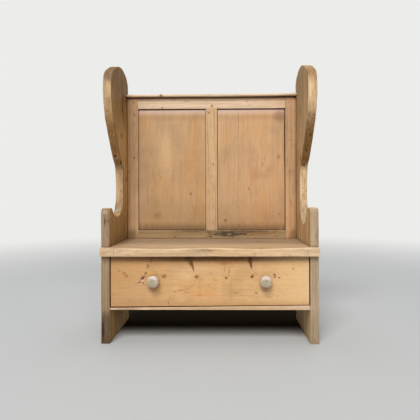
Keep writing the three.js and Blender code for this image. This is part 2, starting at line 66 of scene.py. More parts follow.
nodes = frame["nodes"]

MM = 0.001
# Edges that turn by more than this are drawn sharp.
SHARP_ANGLE = math.radians(42)

# Sizes of the sides, as in the solids
SIDES_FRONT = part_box("left_side")[0].y
SIDE_DEPTH = 0.370
ARM_HEIGHT = 0.617
ARM_ROUND_HEIGHT = 0.029
ARM_ROUND_DEPTH = 0.027
SIDE_HEIGHT = 1.327
NECK_DEPTH = 0.69 * SIDE_DEPTH
ARM_DEPTHS = {"left": 0.044, "right": 0.076}
NOTCH_DROPS = {"left": 0.044, "right": 0.083}
# Notch: shares of the way from the arm to the neck, and of the drop below the arm.
NOTCH_SHARES = np.array([
    [0.07, 0.25], [0.14, 0.55], [0.23, 0.79], [0.335, 0.93], [0.46, 1], [0.57, 0.99], [0.7, 0.83],
    [0.8, 0.58], [0.885, 0.27],
])
# Wing: shares of the side's depth, and of the height from the arm to the wing's top.
WING_SHARES = np.array([
    [0.686, 0.056], [0.697, 0.117], [0.688, 0.19], [0.668, 0.262], [0.648, 0.296], [0.598, 0.318],
    [0.54, 0.343], [0.474, 0.39], [0.355, 0.468], [0.257, 0.544], [0.178, 0.604], [0.131, 0.667],
    [0.103, 0.735], [0.095, 0.785], [0.103, 0.835], [0.123, 0.872], [0.152, 0.895], [0.206, 0.918],
    [0.338, 0.957], [0.475, 0.987], [0.608, 1], [0.735, 0.9965], [0.845, 0.982], [0.935, 0.959],
    [1, 0.918],
])


# Surfaces
def ripple(points, size, seed):
    """A smooth uneven field over points, mostly between -1.5 and 1.5: the cosines of plane waves in random
    directions, whose wavelengths lie round size, summed and divided by the root of their number."""
    rng = np.random.default_rng(seed)
    waves = 14
    way = rng.normal(size=(waves, 3))
    way /= np.linalg.norm(way, axis=1, keepdims=True)
    pace = 2 * math.pi / (size * rng.uniform(0.6, 1.6, waves))
    start = rng.uniform(0, 2 * math.pi, waves)
    return np.cos(points @ (way * pace[:, None]).T + start).sum(1) / math.sqrt(waves)


def mesh_of(name, verts, quads, tris=None):
    """A mesh from whole arrays of corners, quads and triangles."""
    tris = np.zeros((0, 3), int) if tris is None else tris
    mesh = bpy.data.meshes.new(name)
    mesh.vertices.add(len(verts))
    mesh.vertices.foreach_set("co", np.ascontiguousarray(verts, np.float32).ravel())
    corners = np.concatenate([np.ravel(quads), np.ravel(tris)]).astype(np.int32)
    sizes = np.concatenate([np.full(len(quads), 4), np.full(len(tris), 3)])
    starts = np.concatenate([[0], np.cumsum(sizes)[:-1]]).astype(np.int32)
    mesh.loops.add(len(corners))
    mesh.loops.foreach_set("vertex_index", corners)
    mesh.polygons.add(len(sizes))
    mesh.polygons.foreach_set("loop_start", starts)
    mesh.update(calc_edges=True)
    mesh.validate()
    mesh.shade_smooth()
    mesh.set_sharp_from_angle(angle=SHARP_ANGLE)
    return mesh


def weather(mesh, amount, size, seed, dents=()):
    """Moves each corner along its normal by a smooth uneven field, and inwards by each dent: (centre, half
    sizes, depth), a smooth hollow that ends at its half sizes."""
    count = len(mesh.vertices)
    points, normals = np.zeros(count * 3, np.float32), np.zeros(count * 3, np.float32)
    mesh.vertices.foreach_get("co", points)
    mesh.vertex_normals.foreach_get("vector", normals)
    points, normals = points.reshape(-1, 3).astype(float), normals.reshape(-1, 3)
    shift = amount * ripple(points, size, seed)
    for centre, half, depth in dents:
        away = np.linalg.norm((points - centre) / half, axis=1)
        shift -= depth * np.clip(1 - away**2, 0, 1) ** 2
    moved = points + normals * shift[:, None]
    mesh.vertices.foreach_set("co", moved.astype(np.float32).ravel())
    mesh.update()


def piece(name, surface, uneven, body, material, stands_for):
    """Makes a piece from a surface of corners, quads and perhaps triangles, weathers it by the values in
    uneven, if there are any, and puts it in the place of solids."""
    mesh = mesh_of(name, *surface)
    if uneven:
        weather(mesh, *uneven)
    made = bpy.data.objects.new(name, mesh)
    bpy.context.scene.collection.objects.link(made)
    mesh.materials.append(material)
    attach(made, body)
    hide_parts(*stands_for)


def lines(low, high, step, margin=5 * MM, close=()):
    """Grid lines from low to high about a step apart, with a first and last gap of margin, and closer lines
    inside each (centre, half width, step) of close."""
    count = max(2, round((high - low - 2 * margin) / step) + 1)
    made = [np.array([low, high]), np.linspace(low + margin, high - margin, count)]
    for centre, half, fine in close:
        made.append(np.arange(centre - half, centre + half, fine))
    values = np.unique(np.round(np.concatenate(made), 6))
    inside = (values > low + 0.8 * margin) & (values < high - 0.8 * margin)
    return np.concatenate([[low], values[inside], [high]])


def flat_grid(across, up):
    """Points (a, b) at every crossing of the lines across and the lines up, one row for each b."""
    a, b = np.meshgrid(across, up)
    return np.stack([a, b], -1)


def path_through(corners, columns):
    """The flat indices of a closed path along grid lines through corners given as (row, column)."""
    legs = []
    for (r0, c0), (r1, c1) in zip(corners, corners[1:] + corners[:1]):
        steps = max(abs(r1 - r0), abs(c1 - c0))
        share = np.arange(steps) / steps
        rows = np.round(r0 + (r1 - r0) * share).astype(int)
        cols = np.round(c0 + (c1 - c0) * share).astype(int)
        legs.append(rows * columns + cols)
    return np.concatenate(legs)


def rim_path(rows, columns):
    """The closed path round a whole grid."""
    return path_through([(0, 0), (0, columns - 1), (rows - 1, columns - 1), (rows - 1, 0)], columns)


def cells_of(rows, columns, keep=None):
    """The quads of a grid of points, anticlockwise; keep says which cells are there."""
    r, c = np.meshgrid(np.arange(rows - 1), np.arange(columns - 1), indexing="ij")
    corner = r * columns + c
    quads = np.stack([corner, corner + 1, corner + columns + 1, corner + columns], -1)
    return quads.reshape(-1, 4) if keep is None else quads[keep]


def bands(rings, around):
    """The quads between closed rings of points, one ring after the other."""
    ring, spot = np.meshgrid(np.arange(rings - 1), np.arange(around), indexing="ij")
    here, ahead = ring * around + spot, ring * around + (spot + 1) % around
    return np.stack([here, here + around, ahead + around, ahead], -1).reshape(-1, 4)


def slab(plan, cells, loop, low, high, arris_low, arris_high, turn):
    """A board whose two faces are one grid of points (a, b), at c = low and c = high. Its outline is carried
    across the thickness: out along a quarter circle of the arris radius, straight down, and in again along
    the other quarter circle. turn puts (a, b, c) into the bench's own directions."""
    arc_steps, straight_steps = 4, 3
    points = plan.reshape(-1, 2)
    edge = points[loop]

    def outward(step):
        step = step / np.linalg.norm(step, axis=1, keepdims=True)
        return np.stack([step[:, 1], -step[:, 0]], 1)

    before = outward(edge - np.roll(edge, 1, 0))
    after = outward(np.roll(edge, -1, 0) - edge)
    mitre = (before + after) / (1 + (before * after).sum(1, keepdims=True))
    arris_low = np.broadcast_to(arris_low, len(loop))
    arris_high = np.broadcast_to(arris_high, len(loop))
    turn_in = np.linspace(0, math.pi / 2, arc_steps + 1)
    rings = []
    for angle in turn_in:
        inset = arris_high * (1 - math.sin(angle))
        rings.append((inset, high - arris_high * (1 - math.cos(angle))))
    for share in np.arange(1, straight_steps) / straight_steps:
        rings.append((0 * inset, (high - arris_high) * (1 - share) + (low + arris_low) * share))
    for angle in turn_in[::-1]:
        inset = arris_low * (1 - math.sin(angle))
        rings.append((inset, low + arris_low * (1 - math.cos(angle))))
    rim = np.concatenate([
        np.column_stack([edge - mitre * inset[:, None], level]) for inset, level in rings
    ])
    inner = np.setdiff1d(np.unique(cells), loop)
    face_high = np.column_stack([points[inner], np.full(len(inner), high)])
    face_low = np.column_stack([points[inner], np.full(len(inner), low)])
    around = len(loop)
    index_high, index_low = np.zeros(len(points), int), np.zeros(len(points), int)
    index_high[loop] = np.arange(around)
    index_low[loop] = (len(rings) - 1) * around + np.arange(around)
    index_high[inner] = len(rim) + np.arange(len(inner))
    index_low[inner] = len(rim) + len(inner) + np.arange(len(inner))
    quads = np.concatenate([index_high[cells], index_low[cells][:, ::-1], bands(len(rings), around)])
    return turn(np.concatenate([rim, face_high, face_low])), quads


def facing_front(p):
    """a is X, b is Z and c counts forward, so the high face is the front."""
    return np.column_stack([p[:, 0], -p[:, 2], p[:, 1]])


def facing_up(p):
    return p


def facing_right(p):
    """a is Y, b is Z and c is X."""
    return np.column_stack([p[:, 2], p[:, 0], p[:, 1]])


def board_between(low, high, facing, arris, step):
    """A straight board that fills the box between two corners and faces front or up, with softened
    arrises."""
    a, b, c = (0, 2, 1) if facing is facing_front else (0, 1, 2)
    ends = (-high[c], -low[c]) if facing is facing_front else (low[c], high[c])
    plan = flat_grid(lines(low[a], high[a], step), lines(low[b], high[b], step))
    rows, columns = plan.shape[:2]
    return slab(plan, cells_of(rows, columns), rim_path(rows, columns), *ends, arris, arris, facing)


def smooth_curve(stations, steps):
    """The curve through the stations that leaves each along the line between its two neighbours."""
    padded = np.concatenate([stations[:1], stations, stations[-1:]])
    p0, p1, p2, p3 = padded[:-3], padded[1:-2], padded[2:-1], padded[3:]
    t = (np.arange(steps) / steps)[None, :, None]
    v0, v1 = ((p2 - p0) / 2)[:, None], ((p3 - p1) / 2)[:, None]
    a, b = p1[:, None], p2[:, None]
    spans = (2 * a - 2 * b + v0 + v1) * t**3 + (3 * b - 3 * a - 2 * v0 - v1) * t**2 + v0 * t + a
    return np.concatenate([spans.reshape(-1, 2), stations[-1:]])


def measured(curve, step):
    """Points along a curve at even distances of about a step."""
    length = np.concatenate([[0], np.cumsum(np.linalg.norm(np.diff(curve, axis=0), axis=1))])
    count = max(2, round(length[-1] / step) + 1)
    at = np.linspace(0, length[-1], count)
    return np.column_stack([np.interp(at, length, curve[:, k]) for k in range(2)])


def side_outline(hand):
    """The side's outline from the foot of its front edge, over arm, notch and wing, to its back corner."""
    arm_depth, drop = ARM_DEPTHS[hand], NOTCH_DROPS[hand]
    notch = np.column_stack([
        arm_depth + (NECK_DEPTH - arm_depth) * NOTCH_SHARES[:, 0], ARM_HEIGHT - drop * NOTCH_SHARES[:, 1],
    ])
    wing = np.column_stack([
        SIDE_DEPTH * WING_SHARES[:, 0], ARM_HEIGHT + (SIDE_HEIGHT - ARM_HEIGHT) * WING_SHARES[:, 1],
    ])
    t = np.linspace(0, 1, 13)[:, None]
    start, bend = np.array([0, ARM_HEIGHT - ARM_ROUND_HEIGHT]), np.array([0, ARM_HEIGHT])
    end = np.array([ARM_ROUND_DEPTH, ARM_HEIGHT])
    rounding = start * (1 - t) ** 2 + 2 * bend * t * (1 - t) + end * t**2
    curve = smooth_curve(np.concatenate([[[arm_depth, ARM_HEIGHT]], notch, wing]), 9)
    return np.concatenate([[[0, 0]], rounding, curve])


def spread(count, width, margin):
    """Shares from 0 to 1 with a first and last step of margin over each width, even between them."""
    width = np.atleast_1d(width)[:, None]
    even = np.linspace(0, 1, count - 2)[None]
    inner = margin / width + even * (1 - 2 * margin / width)
    return np.concatenate([0 * width, inner, 0 * width + 1], 1)


def side_plan(hand):
    """A grid over the side, in two blocks. The lower one has upright lines from the foot to the arm and the
    notch, and the upper one has level lines from the front of the wing to the back edge."""
    fine = measured(side_outline(hand), step=1.5 * MM)
    step = np.diff(fine, axis=0)
    lean = np.degrees(np.arctan2(step[:, 1], step[:, 0]))
    height, depth = fine[:-1, 1], fine[:-1, 0]
    steep, notch_points, wing_points, crown_height = 45, 400, 60, 1.15
    # Places along the outline: the arm's front, the bottom of the notch, the neck and the crown's front.
    arm = np.argmax((height > ARM_HEIGHT - ARM_ROUND_HEIGHT) & (lean < steep))
    notch = np.where(depth[arm:] < NECK_DEPTH, height[arm:], np.inf)[:notch_points]
    valley = arm + np.argmin(notch)
    neck = valley + np.argmax(lean[valley:] > steep)
    wing = neck + wing_points
    top = wing + np.argmax((lean[wing:] < steep) & (height[wing:] > crown_height))
    # The two blocks meet on a line that falls from the neck to the back edge.
    sill_slope = 0.5
    sill = np.array([SIDE_DEPTH, fine[neck, 1] - sill_slope * (SIDE_DEPTH - fine[neck, 0])])

    saddle = measured(fine[arm:neck + 1], step=5 * MM)
    inner_count, lower_count = 30, 78
    share = spread(inner_count, np.linalg.norm(sill - fine[neck]), 9 * MM)[0][1:, None]
    top_row = np.concatenate([saddle, fine[neck] + (sill - fine[neck]) * share])
    foot_row = np.column_stack([top_row[:, 0], 0 * top_row[:, 0]])
    foot_row[0] = 0
    share = spread(lower_count, top_row[:, 1], 11 * MM).T[..., None]
    lower = foot_row[None] + (top_row - foot_row)[None] * share
    front = np.interp(lower[:, 0, 1], fine[:arm + 1, 1], fine[:arm + 1, 0])
    pull = (front - lower[:, 0, 0])[:, None]
    pull_depth = 80 * MM
    lower[..., 0] += pull * np.clip(1 - lower[..., 0] / pull_depth, 0, 1) ** 2

    belly = measured(fine[neck:top + 1], step=5 * MM)
    crown = fine[top:]
    back = np.column_stack([
        np.full(len(belly), SIDE_DEPTH), sill[1] + (fine[-1, 1] - sill[1]) * np.linspace(0, 1, len(belly)),
    ])
    share = spread(inner_count, np.linalg.norm(back - belly, axis=1), 9 * MM)[..., None]
    upper = belly[:, None] + (back - belly)[:, None] * share
    bulge = np.interp(upper[-1, :, 0], crown[:, 0], crown[:, 1]) - upper[-1, :, 1]
    lift = (np.linspace(0, 1, len(belly)) ** 7)[:, None]
    upper[..., 1] += bulge[None] * lift

    columns = len(top_row)
    corner = columns - inner_count
    rows = lower_count + len(belly) - 1
    plan = np.zeros((rows, columns, 2))
    plan[:lower_count] = lower
    plan[lower_count - 1:, corner:] = upper
    keep = np.ones((rows - 1, columns - 1), bool)
    keep[lower_count - 1:, :corner] = False
    corners = [
        (0, 0), (0, columns - 1), (rows - 1, columns - 1), (rows - 1, corner),
        (lower_count - 1, corner), (lower_count - 1, 0),
    ]
    return plan, cells_of(rows, columns, keep), path_through(corners, columns)


def turned(profile, segments, oval, uneven, seed):
    """A turned solid: the profile's points (radius, distance along the axis), from pole to pole, carried
    round the axis, squeezed across by oval, and in and out by ripples of the share uneven. The first and
    last points lie on the axis."""
    profile = np.asarray(profile, float)
    angle = np.linspace(0, 2 * math.pi, segments, endpoint=False)
    radius, along = profile[1:-1, 0], profile[1:-1, 1]
    wobble = 1 + uneven * ripple(np.column_stack([np.cos(angle), np.sin(angle), 0 * angle]), 2.0, seed)
    x = radius[:, None] * np.cos(angle)[None] * wobble * oval
    z = radius[:, None] * np.sin(angle)[None] * wobble
    y = np.broadcast_to(along[:, None], x.shape)
    verts = np.stack([x, y, z], -1).reshape(-1, 3)
    poles = [[0, profile[0, 1], 0], [0, profile[-1, 1], 0]]
    verts = np.concatenate([verts, poles])
    quads = bands(len(radius), segments)
    spot = np.arange(segments)
    after = (spot + 1) % segments
    last = (len(radius) - 1) * segments
    first_pole, last_pole = len(verts) - 2, len(verts) - 1
    start = np.column_stack([np.full(segments, first_pole), spot, after])
    end = np.column_stack([np.full(segments, last_pole), last + after, last + spot])
    return verts, quads, np.concatenate([start, end])


# Finishes
def tone(red, green, blue):
    """A colour written as seen on screen, 0 to 255, as the shader wants it."""
    seen = np.array([red, green, blue]) / 255
    linear = np.where(seen <= 0.04045, seen / 12.92, ((seen + 0.055) / 1.055) ** 2.4)
    return (*[float(x) for x in linear], 1.0)


class Shop:
    """Adds nodes to one tree, with inputs given as values or as sockets."""

    def __init__(self, tree):
        self.tree = tree

    def node(self, kind, inputs=(), **settings):
        made = self.tree.nodes.new(kind)
        for key, value in settings.items():
            setattr(made, key, value)
        for key, value in dict(inputs).items():
            if isinstance(value, bpy.types.NodeSocket):
                self.tree.links.new(value, made.inputs[key])
            else:
                made.inputs[key].default_value = value
        return made

    def math(self, operation, *values, clamp=False):
        return self.node("ShaderNodeMath", enumerate(values), operation=operation, use_clamp=clamp).outputs[0]

    def vector(self, operation, *values, scale=None):
        inputs = dict(enumerate(values))
        if scale is not None:
            inputs["Scale"] = scale
        made = self.node("ShaderNodeVectorMath", inputs, operation=operation)
        return made.outputs["Value"] if operation in ("LENGTH", "DOT_PRODUCT") else made.outputs[0]

    def noise(self, place, stretch=1.0, detail=2.0, roughness=0.5):
        """Smooth noise, about 0.5 on average; stretch is its number of waves a metre, one or per axis."""
        if isinstance(stretch, tuple):
            place, stretch = self.vector("MULTIPLY", place, stretch), 1.0
        inputs = {"Vector": place, "Scale": stretch, "Detail": detail, "Roughness": roughness}
        return self.node("ShaderNodeTexNoise", inputs).outputs[0]

    def fade(self, value, start, end, low=0.0, high=1.0):
        inputs = {"Value": value, "From Min": start, "From Max": end, "To Min": low, "To Max": high}
        return self.node("ShaderNodeMapRange", inputs, interpolation_type="SMOOTHSTEP").outputs[0]

    def mix(self, share, first, second, blend="MIX"):
        inputs = {0: share, 6: first, 7: second}
        return self.node("ShaderNodeMix", inputs, data_type="RGBA", blend_type=blend).outputs[2]

    def tint(self, share, colour, by):
        return self.mix(share, colour, by, "MULTIPLY")

    def ramp(self, value, stops):
        made = self.node("ShaderNodeValToRGB", {0: value})
        bar = made.color_ramp
        for element, (place, colour) in zip(bar.elements, (stops[0], stops[-1])):
            element.position, element.color = place, colour
        for place, colour in stops[1:-1]:
            bar.elements.new(place).color = colour
        return made.outputs[0]

    def group(self, tree, inputs=()):
        return self.node("ShaderNodeGroup", inputs, node_tree=tree).outputs

    def spot(self):
        return self.node("ShaderNodeTexCoord").outputs["Object"]

    def axes(self, vector):
        return self.node("ShaderNodeSeparateXYZ", {0: vector}).outputs

    def bump(self, **inputs):
        return self.node("ShaderNodeBump", inputs).outputs[0]

    def closeness(self, distance, samples):
        """1 where a surface is open within the distance, and 0 where it is shut in."""
        return self.node("ShaderNodeAmbientOcclusion", {"Distance": distance}, samples=samples).outputs["AO"]

    def show(self, shader, inputs, output="ShaderNodeOutputMaterial"):
        """Adds a shader and joins it to the tree's output."""
        self.node(output, {0: self.node(shader, inputs).outputs[0]})


def cleared(block):
    """A Shop for the emptied node tree of a material or world."""
    block.use_nodes = True
    block.node_tree.nodes.clear()
    return Shop(block.node_tree)


def group_of(name, inputs, outputs):
    """A node group with inputs and outputs given as (label, kind of socket)."""
    tree = bpy.data.node_groups.new(name, "ShaderNodeTree")
    for label, kind in inputs:
        tree.interface.new_socket(label, in_out="INPUT", socket_type="NodeSocket" + kind)
    for label, kind in outputs:
        tree.interface.new_socket(label, in_out="OUTPUT", socket_type="NodeSocket" + kind)
    shop = Shop(tree)
    return tree, shop, shop.node("NodeGroupInput").outputs, shop.node("NodeGroupOutput").inputs


def grain_group():
    """Growth rings round a pith line along the board, broad and narrow streaks, fine fibres, short dark
    specks along the grain, and two slow drifts of tone."""
    outputs = ["Rings", "Fibre", "Drift", "Patch", "Broad", "Streak", "Speck", "Scuff"]
    tree, shop, given, out = group_of(
        "board grain",
        [("Place", "Vector"), ("Pith", "Vector"), ("Ring", "Float"), ("Push", "Float"), ("Seed", "Float")],
        [(label, "Float") for label in outputs],
    )
    shift = shop.vector("SCALE", (3.1, 5.7, 2.3), scale=given["Seed"])
    place = shop.vector("ADD", given["Place"], shift)
    slow = shop.noise(place, (1.1, 5.0, 5.0))
    quick = shop.noise(place, (7.0, 60.0, 60.0), 3.0)
    away = shop.vector("MULTIPLY", shop.vector("SUBTRACT", given["Place"], given["Pith"]), (0.03, 1.0, 1.0))
    radius = shop.math("MULTIPLY_ADD", slow, 0.09, shop.vector("LENGTH", away))
    radius = shop.math("MULTIPLY_ADD", quick, 0.004, radius)
    radius = shop.math("ADD", radius, given["Push"])
    turns = shop.math("DIVIDE", radius, given["Ring"])
    inputs = {"W": turns, "Scale": 0.35, "Detail": 2.0}
    wander = shop.node("ShaderNodeTexNoise", inputs, noise_dimensions="1D").outputs[0]
    saw = shop.math("FRACT", shop.math("MULTIPLY_ADD", wander, 2.2, turns))
    rings = shop.math("MULTIPLY", shop.math("POWER", saw, 2.2), shop.fade(saw, 0.9, 1.0, 1.0, 0.0))
    clearness = shop.fade(shop.noise(place, (1.5, 14.0, 14.0)), 0.3, 0.65, 0.35)
    made = {
        "Rings": shop.math("MULTIPLY", rings, clearness),
        "Fibre": shop.noise(place, (14.0, 650.0, 650.0), 2.0, 0.6),
        "Drift": shop.noise(place, (2.2, 7.0, 7.0), 3.0, 0.55),
        "Patch": shop.noise(place, 8.0, 4.0, 0.55),
        "Broad": shop.noise(place, (0.9, 26.0, 26.0), 2.0, 0.55),
        "Streak": shop.noise(place, (1.8, 95.0, 95.0), 3.0, 0.6),
        "Speck": shop.fade(shop.noise(place, (70.0, 330.0, 330.0), 1.0), 0.7, 0.8),
        "Scuff": shop.noise(place, (24.0, 75.0, 75.0), 5.0, 0.7),
    }
    for label in outputs:
        tree.links.new(made[label], out[label])
    return tree


def knot_group():
    """One knot: its dark eye, a warm halo round it, a darker rim, and how far it pushes the rings aside."""
    tree, shop, given, out = group_of(
        "knot",
        [("Place", "Vector"), ("Centre", "Vector"), ("Radius", "Float")],
        [("Eye", "Float"), ("Halo", "Float"), ("Push", "Float"), ("Rim", "Float")],
    )
    away = shop.vector("MULTIPLY", shop.vector("SUBTRACT", given["Place"], given["Centre"]), (0.8, 1.0, 0.0))
    ragged = shop.noise(given["Place"], 210.0, 3.0)
    far = shop.math("DIVIDE", shop.vector("LENGTH", away), given["Radius"])
    far = shop.math("ADD", far, shop.math("MULTIPLY_ADD", ragged, 2.4, -1.2))
    tree.links.new(shop.fade(far, 1.15, 0.55), out["Eye"])
    tree.links.new(shop.fade(far, 2.8, 0.8), out["Halo"])
    tree.links.new(shop.math("MULTIPLY", shop.fade(far, 4.5, 0.0), given["Radius"]), out["Push"])
    rim = shop.math("SUBTRACT", shop.fade(far, 1.35, 1.05), shop.fade(far, 0.95, 0.65), clamp=True)
    tree.links.new(rim, out["Rim"])
    return tree


def mark_group():
    """One soft-edged oval mark, such as a stain, a streak or a crack, turned by Lean round the third axis."""
    tree, shop, given, out = group_of(
        "mark",
        [("Place", "Vector"), ("Centre", "Vector"), ("Size", "Vector"), ("Lean", "Float"),
         ("Ragged", "Float"), ("Soft", "Float")],
        [("Mask", "Float")],
    )
    away = shop.vector("SUBTRACT", given["Place"], given["Centre"])
    turned_away = shop.node(
        "ShaderNodeVectorRotate", {"Vector": away, "Angle": given["Lean"]}, rotation_type="Z_AXIS",
    ).outputs[0]
    far = shop.vector("LENGTH", shop.vector("DIVIDE", turned_away, given["Size"]))
    rough = shop.math("SUBTRACT", shop.noise(given["Place"], (45.0, 130.0, 130.0), 3.0, 0.6), 0.5)
    far = shop.math("MULTIPLY_ADD", rough, given["Ragged"], far)
    tree.links.new(shop.fade(far, 1.0, shop.math("SUBTRACT", 1.0, given["Soft"])), out["Mask"])
    return tree


def surroundings_group():
    """How near a surface point is to an arris, to an inner corner and to a crevice, and the normal with
    the arris softened."""
    tree, shop, _, out = group_of(
        "surroundings", [],
        [("Edge", "Float"), ("Corner", "Float"), ("Crevice", "Float"), ("Normal", "Vector")],
    )
    rubbed_width, softened_width, corner_reach, crevice_reach = 0.004, 0.001, 0.06, 0.012
    wide = shop.node("ShaderNodeBevel", {"Radius": rubbed_width}, samples=4).outputs[0]
    small = shop.node("ShaderNodeBevel", {"Radius": softened_width}, samples=4).outputs[0]
    turn = shop.vector("DOT_PRODUCT", wide, shop.node("ShaderNodeNewGeometry").outputs["Normal"])
    tree.links.new(shop.fade(turn, 0.995, 0.88), out["Edge"])
    tree.links.new(shop.fade(shop.closeness(corner_reach, 6), 0.85, 0.35), out["Corner"])
    tree.links.new(shop.fade(shop.closeness(crevice_reach, 6), 0.75, 0.3), out["Crevice"])
    tree.links.new(small, out["Normal"])
    return tree


GRAIN, KNOT, MARK, SURROUNDINGS = grain_group(), knot_group(), mark_group(), surroundings_group()

# Tints that darken, warm, grey or lighten a tone, as shares of its red, green and blue.
LATE_WOOD = (0.60, 0.49, 0.36, 1.0)
WARMER = (1.0, 0.92, 0.74, 1.0)
GREYER = (0.84, 0.86, 0.88, 1.0)
PALER = (1.22, 1.22, 1.24, 1.0)
OUTER = (0.88, 0.83, 0.80, 1.0)
KNOT_BROWN, KNOT_DARK, HALO = tone(122, 72, 40), tone(60, 34, 20), tone(190, 130, 76)
SPLIT, DIRT_AND_SHADE = tone(46, 29, 18), tone(66, 42, 24)
BROWN, DIRT, GREY = tone(118, 80, 48), tone(62, 50, 36), tone(150, 132, 108)
# The half size of a mark that doesn't end on a board in that direction.
FAR = 9.0


def mark(along, across, size, stain, strength, ragged=0.8, soft=0.8, lean=0.0, through=0.0):
    """A mark at a place on a board: size is its half length along, half width across and, where it doesn't
    go right through, half depth; lean turns its length towards the across direction, in degrees."""
    size = size if len(size) == 3 else (*size, FAR)
    inputs = {
        "Centre": (along, across, through), "Size": size, "Lean": math.radians(-lean), "Ragged": ragged,
        "Soft": soft,
    }
    return inputs, stain, strength


def wood(name, run, pith, seed, base=GREY, ring=4.5 * MM, figure=0.45, streaks=0.45, mottle=0.6,
         rough=0.48, knots=(), marks=(), worn=(0.4, tone(232, 204, 166)), corner_dirt_and_shade=0.75, heights=(),
         front_heights=(), relief=0.35, scuffs=0.5, gloss=0.25, outer=1, one_face=False):
    """Old waxed pine. run names the directions along, across and through the board, pith is the pith's
    place (across, through), and a knot is (along, across, radius, darkness). ring is the width of a growth
    ring. figure, streaks, mottle, scuffs, grime and relief say how strongly each shows; grime darkens
    corners and crevices, as dirt and painted shade. worn is the share and tone of the rubbed arrises, paler
    by wear and by a painted highlight, and rough and gloss set the sheen. Where heights is given, it
    replaces the base tone by (height, tone) stops, and front_heights does so on the front edge; outer is the
    sign of X on the face that looks out. With one_face the marks stay off the board's rear face."""
    material = bpy.data.materials.new(name)
    shop = cleared(material)
    spot = shop.spot()
    parts = shop.axes(spot)
    ways = {number: parts["XYZ".index(way)] for number, way in enumerate(run)}
    place = shop.node("ShaderNodeCombineXYZ", ways).outputs[0]
    around = shop.group(SURROUNDINGS)

    push = 0.0
    eyes = []
    for along, across, radius, darkness in knots:
        found = shop.group(KNOT, {"Place": place, "Centre": (along, across, 0.0), "Radius": radius})
        push = shop.math("ADD", push, found["Push"])
        eyes.append((found, darkness))
    inputs = {"Place": place, "Pith": (0.0, *pith), "Ring": ring, "Seed": seed, "Push": push}
    grain = shop.group(GRAIN, inputs)

    facing = shop.axes(shop.node("ShaderNodeNewGeometry").outputs["Normal"])
    colour = base
    if heights:
        ragged = shop.math("MULTIPLY_ADD", shop.noise(place, (20.0, 60.0, 60.0), 3.0, 0.6), 0.05, -0.025)
        height = shop.math("DIVIDE", shop.math("ADD", parts[2], ragged), SIDE_HEIGHT)
        colour = shop.ramp(height, [(at / SIDE_HEIGHT, stop) for at, stop in heights])
        edge = shop.ramp(height, [(at / SIDE_HEIGHT, stop) for at, stop in front_heights])
        away = shop.math("MULTIPLY", facing[0], outer)
        colour = shop.tint(shop.fade(away, 0.3, 0.7), colour, OUTER)
        colour = shop.mix(shop.fade(facing[1], -0.25, -0.6), colour, edge)
    for field, start, end, strength, by in (
        ("Drift", 0.38, 0.66, mottle, WARMER), ("Patch", 0.45, 0.7, mottle, GREYER),
        ("Broad", 0.42, 0.68, 0.45 * streaks, LATE_WOOD), ("Streak", 0.5, 0.7, streaks, LATE_WOOD),
        ("Streak", 0.46, 0.3, streaks, PALER), ("Scuff", 0.55, 0.72, 0.8 * scuffs, LATE_WOOD),
        ("Scuff", 0.42, 0.28, 0.8 * scuffs, PALER),
    ):
        colour = shop.tint(shop.fade(grain[field], start, end, 0.0, strength), colour, by)
    colour = shop.tint(shop.math("MULTIPLY", grain["Rings"], figure), colour, LATE_WOOD)
    colour = shop.tint(shop.fade(grain["Fibre"], 0.4, 0.75, 0.0, 0.5), colour, LATE_WOOD)
    colour = shop.tint(shop.math("MULTIPLY", grain["Speck"], 0.6), colour, LATE_WOOD)
    for found, darkness in eyes:
        colour = shop.mix(shop.math("MULTIPLY", found["Halo"], 0.45 * darkness), colour, HALO)
        colour = shop.mix(shop.math("MULTIPLY", found["Eye"], 0.85 * darkness), colour, KNOT_BROWN)
        colour = shop.mix(shop.math("MULTIPLY", found["Rim"], 0.8 * darkness), colour, KNOT_DARK)
    for inputs, stain, strength in marks:
        mask = shop.group(MARK, {"Place": place, **inputs})["Mask"]
        if one_face:
            mask = shop.math("MULTIPLY", mask, shop.fade(facing[1], 0.6, 0.2))
        colour = shop.mix(shop.math("MULTIPLY", mask, strength), colour, stain)
    # The rubbed arrises turn paler: wear, and a painted highlight along the edges.
    patchy = shop.fade(shop.noise(spot, 38.0, 3.0, 0.6), 0.35, 0.65)
    rub_and_highlight_share, rub_and_highlight_tone = worn
    arris_rub_and_highlight = shop.math("MULTIPLY", shop.math("MULTIPLY", around["Edge"], patchy), rub_and_highlight_share)
    colour = shop.mix(arris_rub_and_highlight, colour, rub_and_highlight_tone)
    # Corners and crevices, found by ambient occlusion, darken: dirt and painted shade.
    colour = shop.tint(shop.math("MULTIPLY", around["Corner"], 0.6 * corner_dirt_and_shade), colour, LATE_WOOD)
    colour = shop.mix(shop.math("MULTIPLY", around["Crevice"], corner_dirt_and_shade), colour, DIRT_AND_SHADE)

    shine = shop.math("MULTIPLY_ADD", grain["Patch"], 0.3, rough - 0.15)
    shine = shop.math("MULTIPLY_ADD", grain["Rings"], -0.08, shine)
    shine = shop.math("MULTIPLY_ADD", around["Corner"], 0.2, shine, clamp=True)
    height = shop.math("MULTIPLY_ADD", grain["Rings"], 0.6, grain["Fibre"])
    height = shop.math("MULTIPLY_ADD", grain["Speck"], -0.8, height)
    for found, darkness in eyes:
        height = shop.math("MULTIPLY_ADD", found["Rim"], -1.2, height)
    bump = shop.bump(Height=height, Strength=relief, Distance=0.0012, Normal=around["Normal"])
    shop.show("ShaderNodeBsdfPrincipled", {
        "Base Color": colour, "Roughness": shine, "Normal": bump, "Specular IOR Level": gloss,
    })
    return material


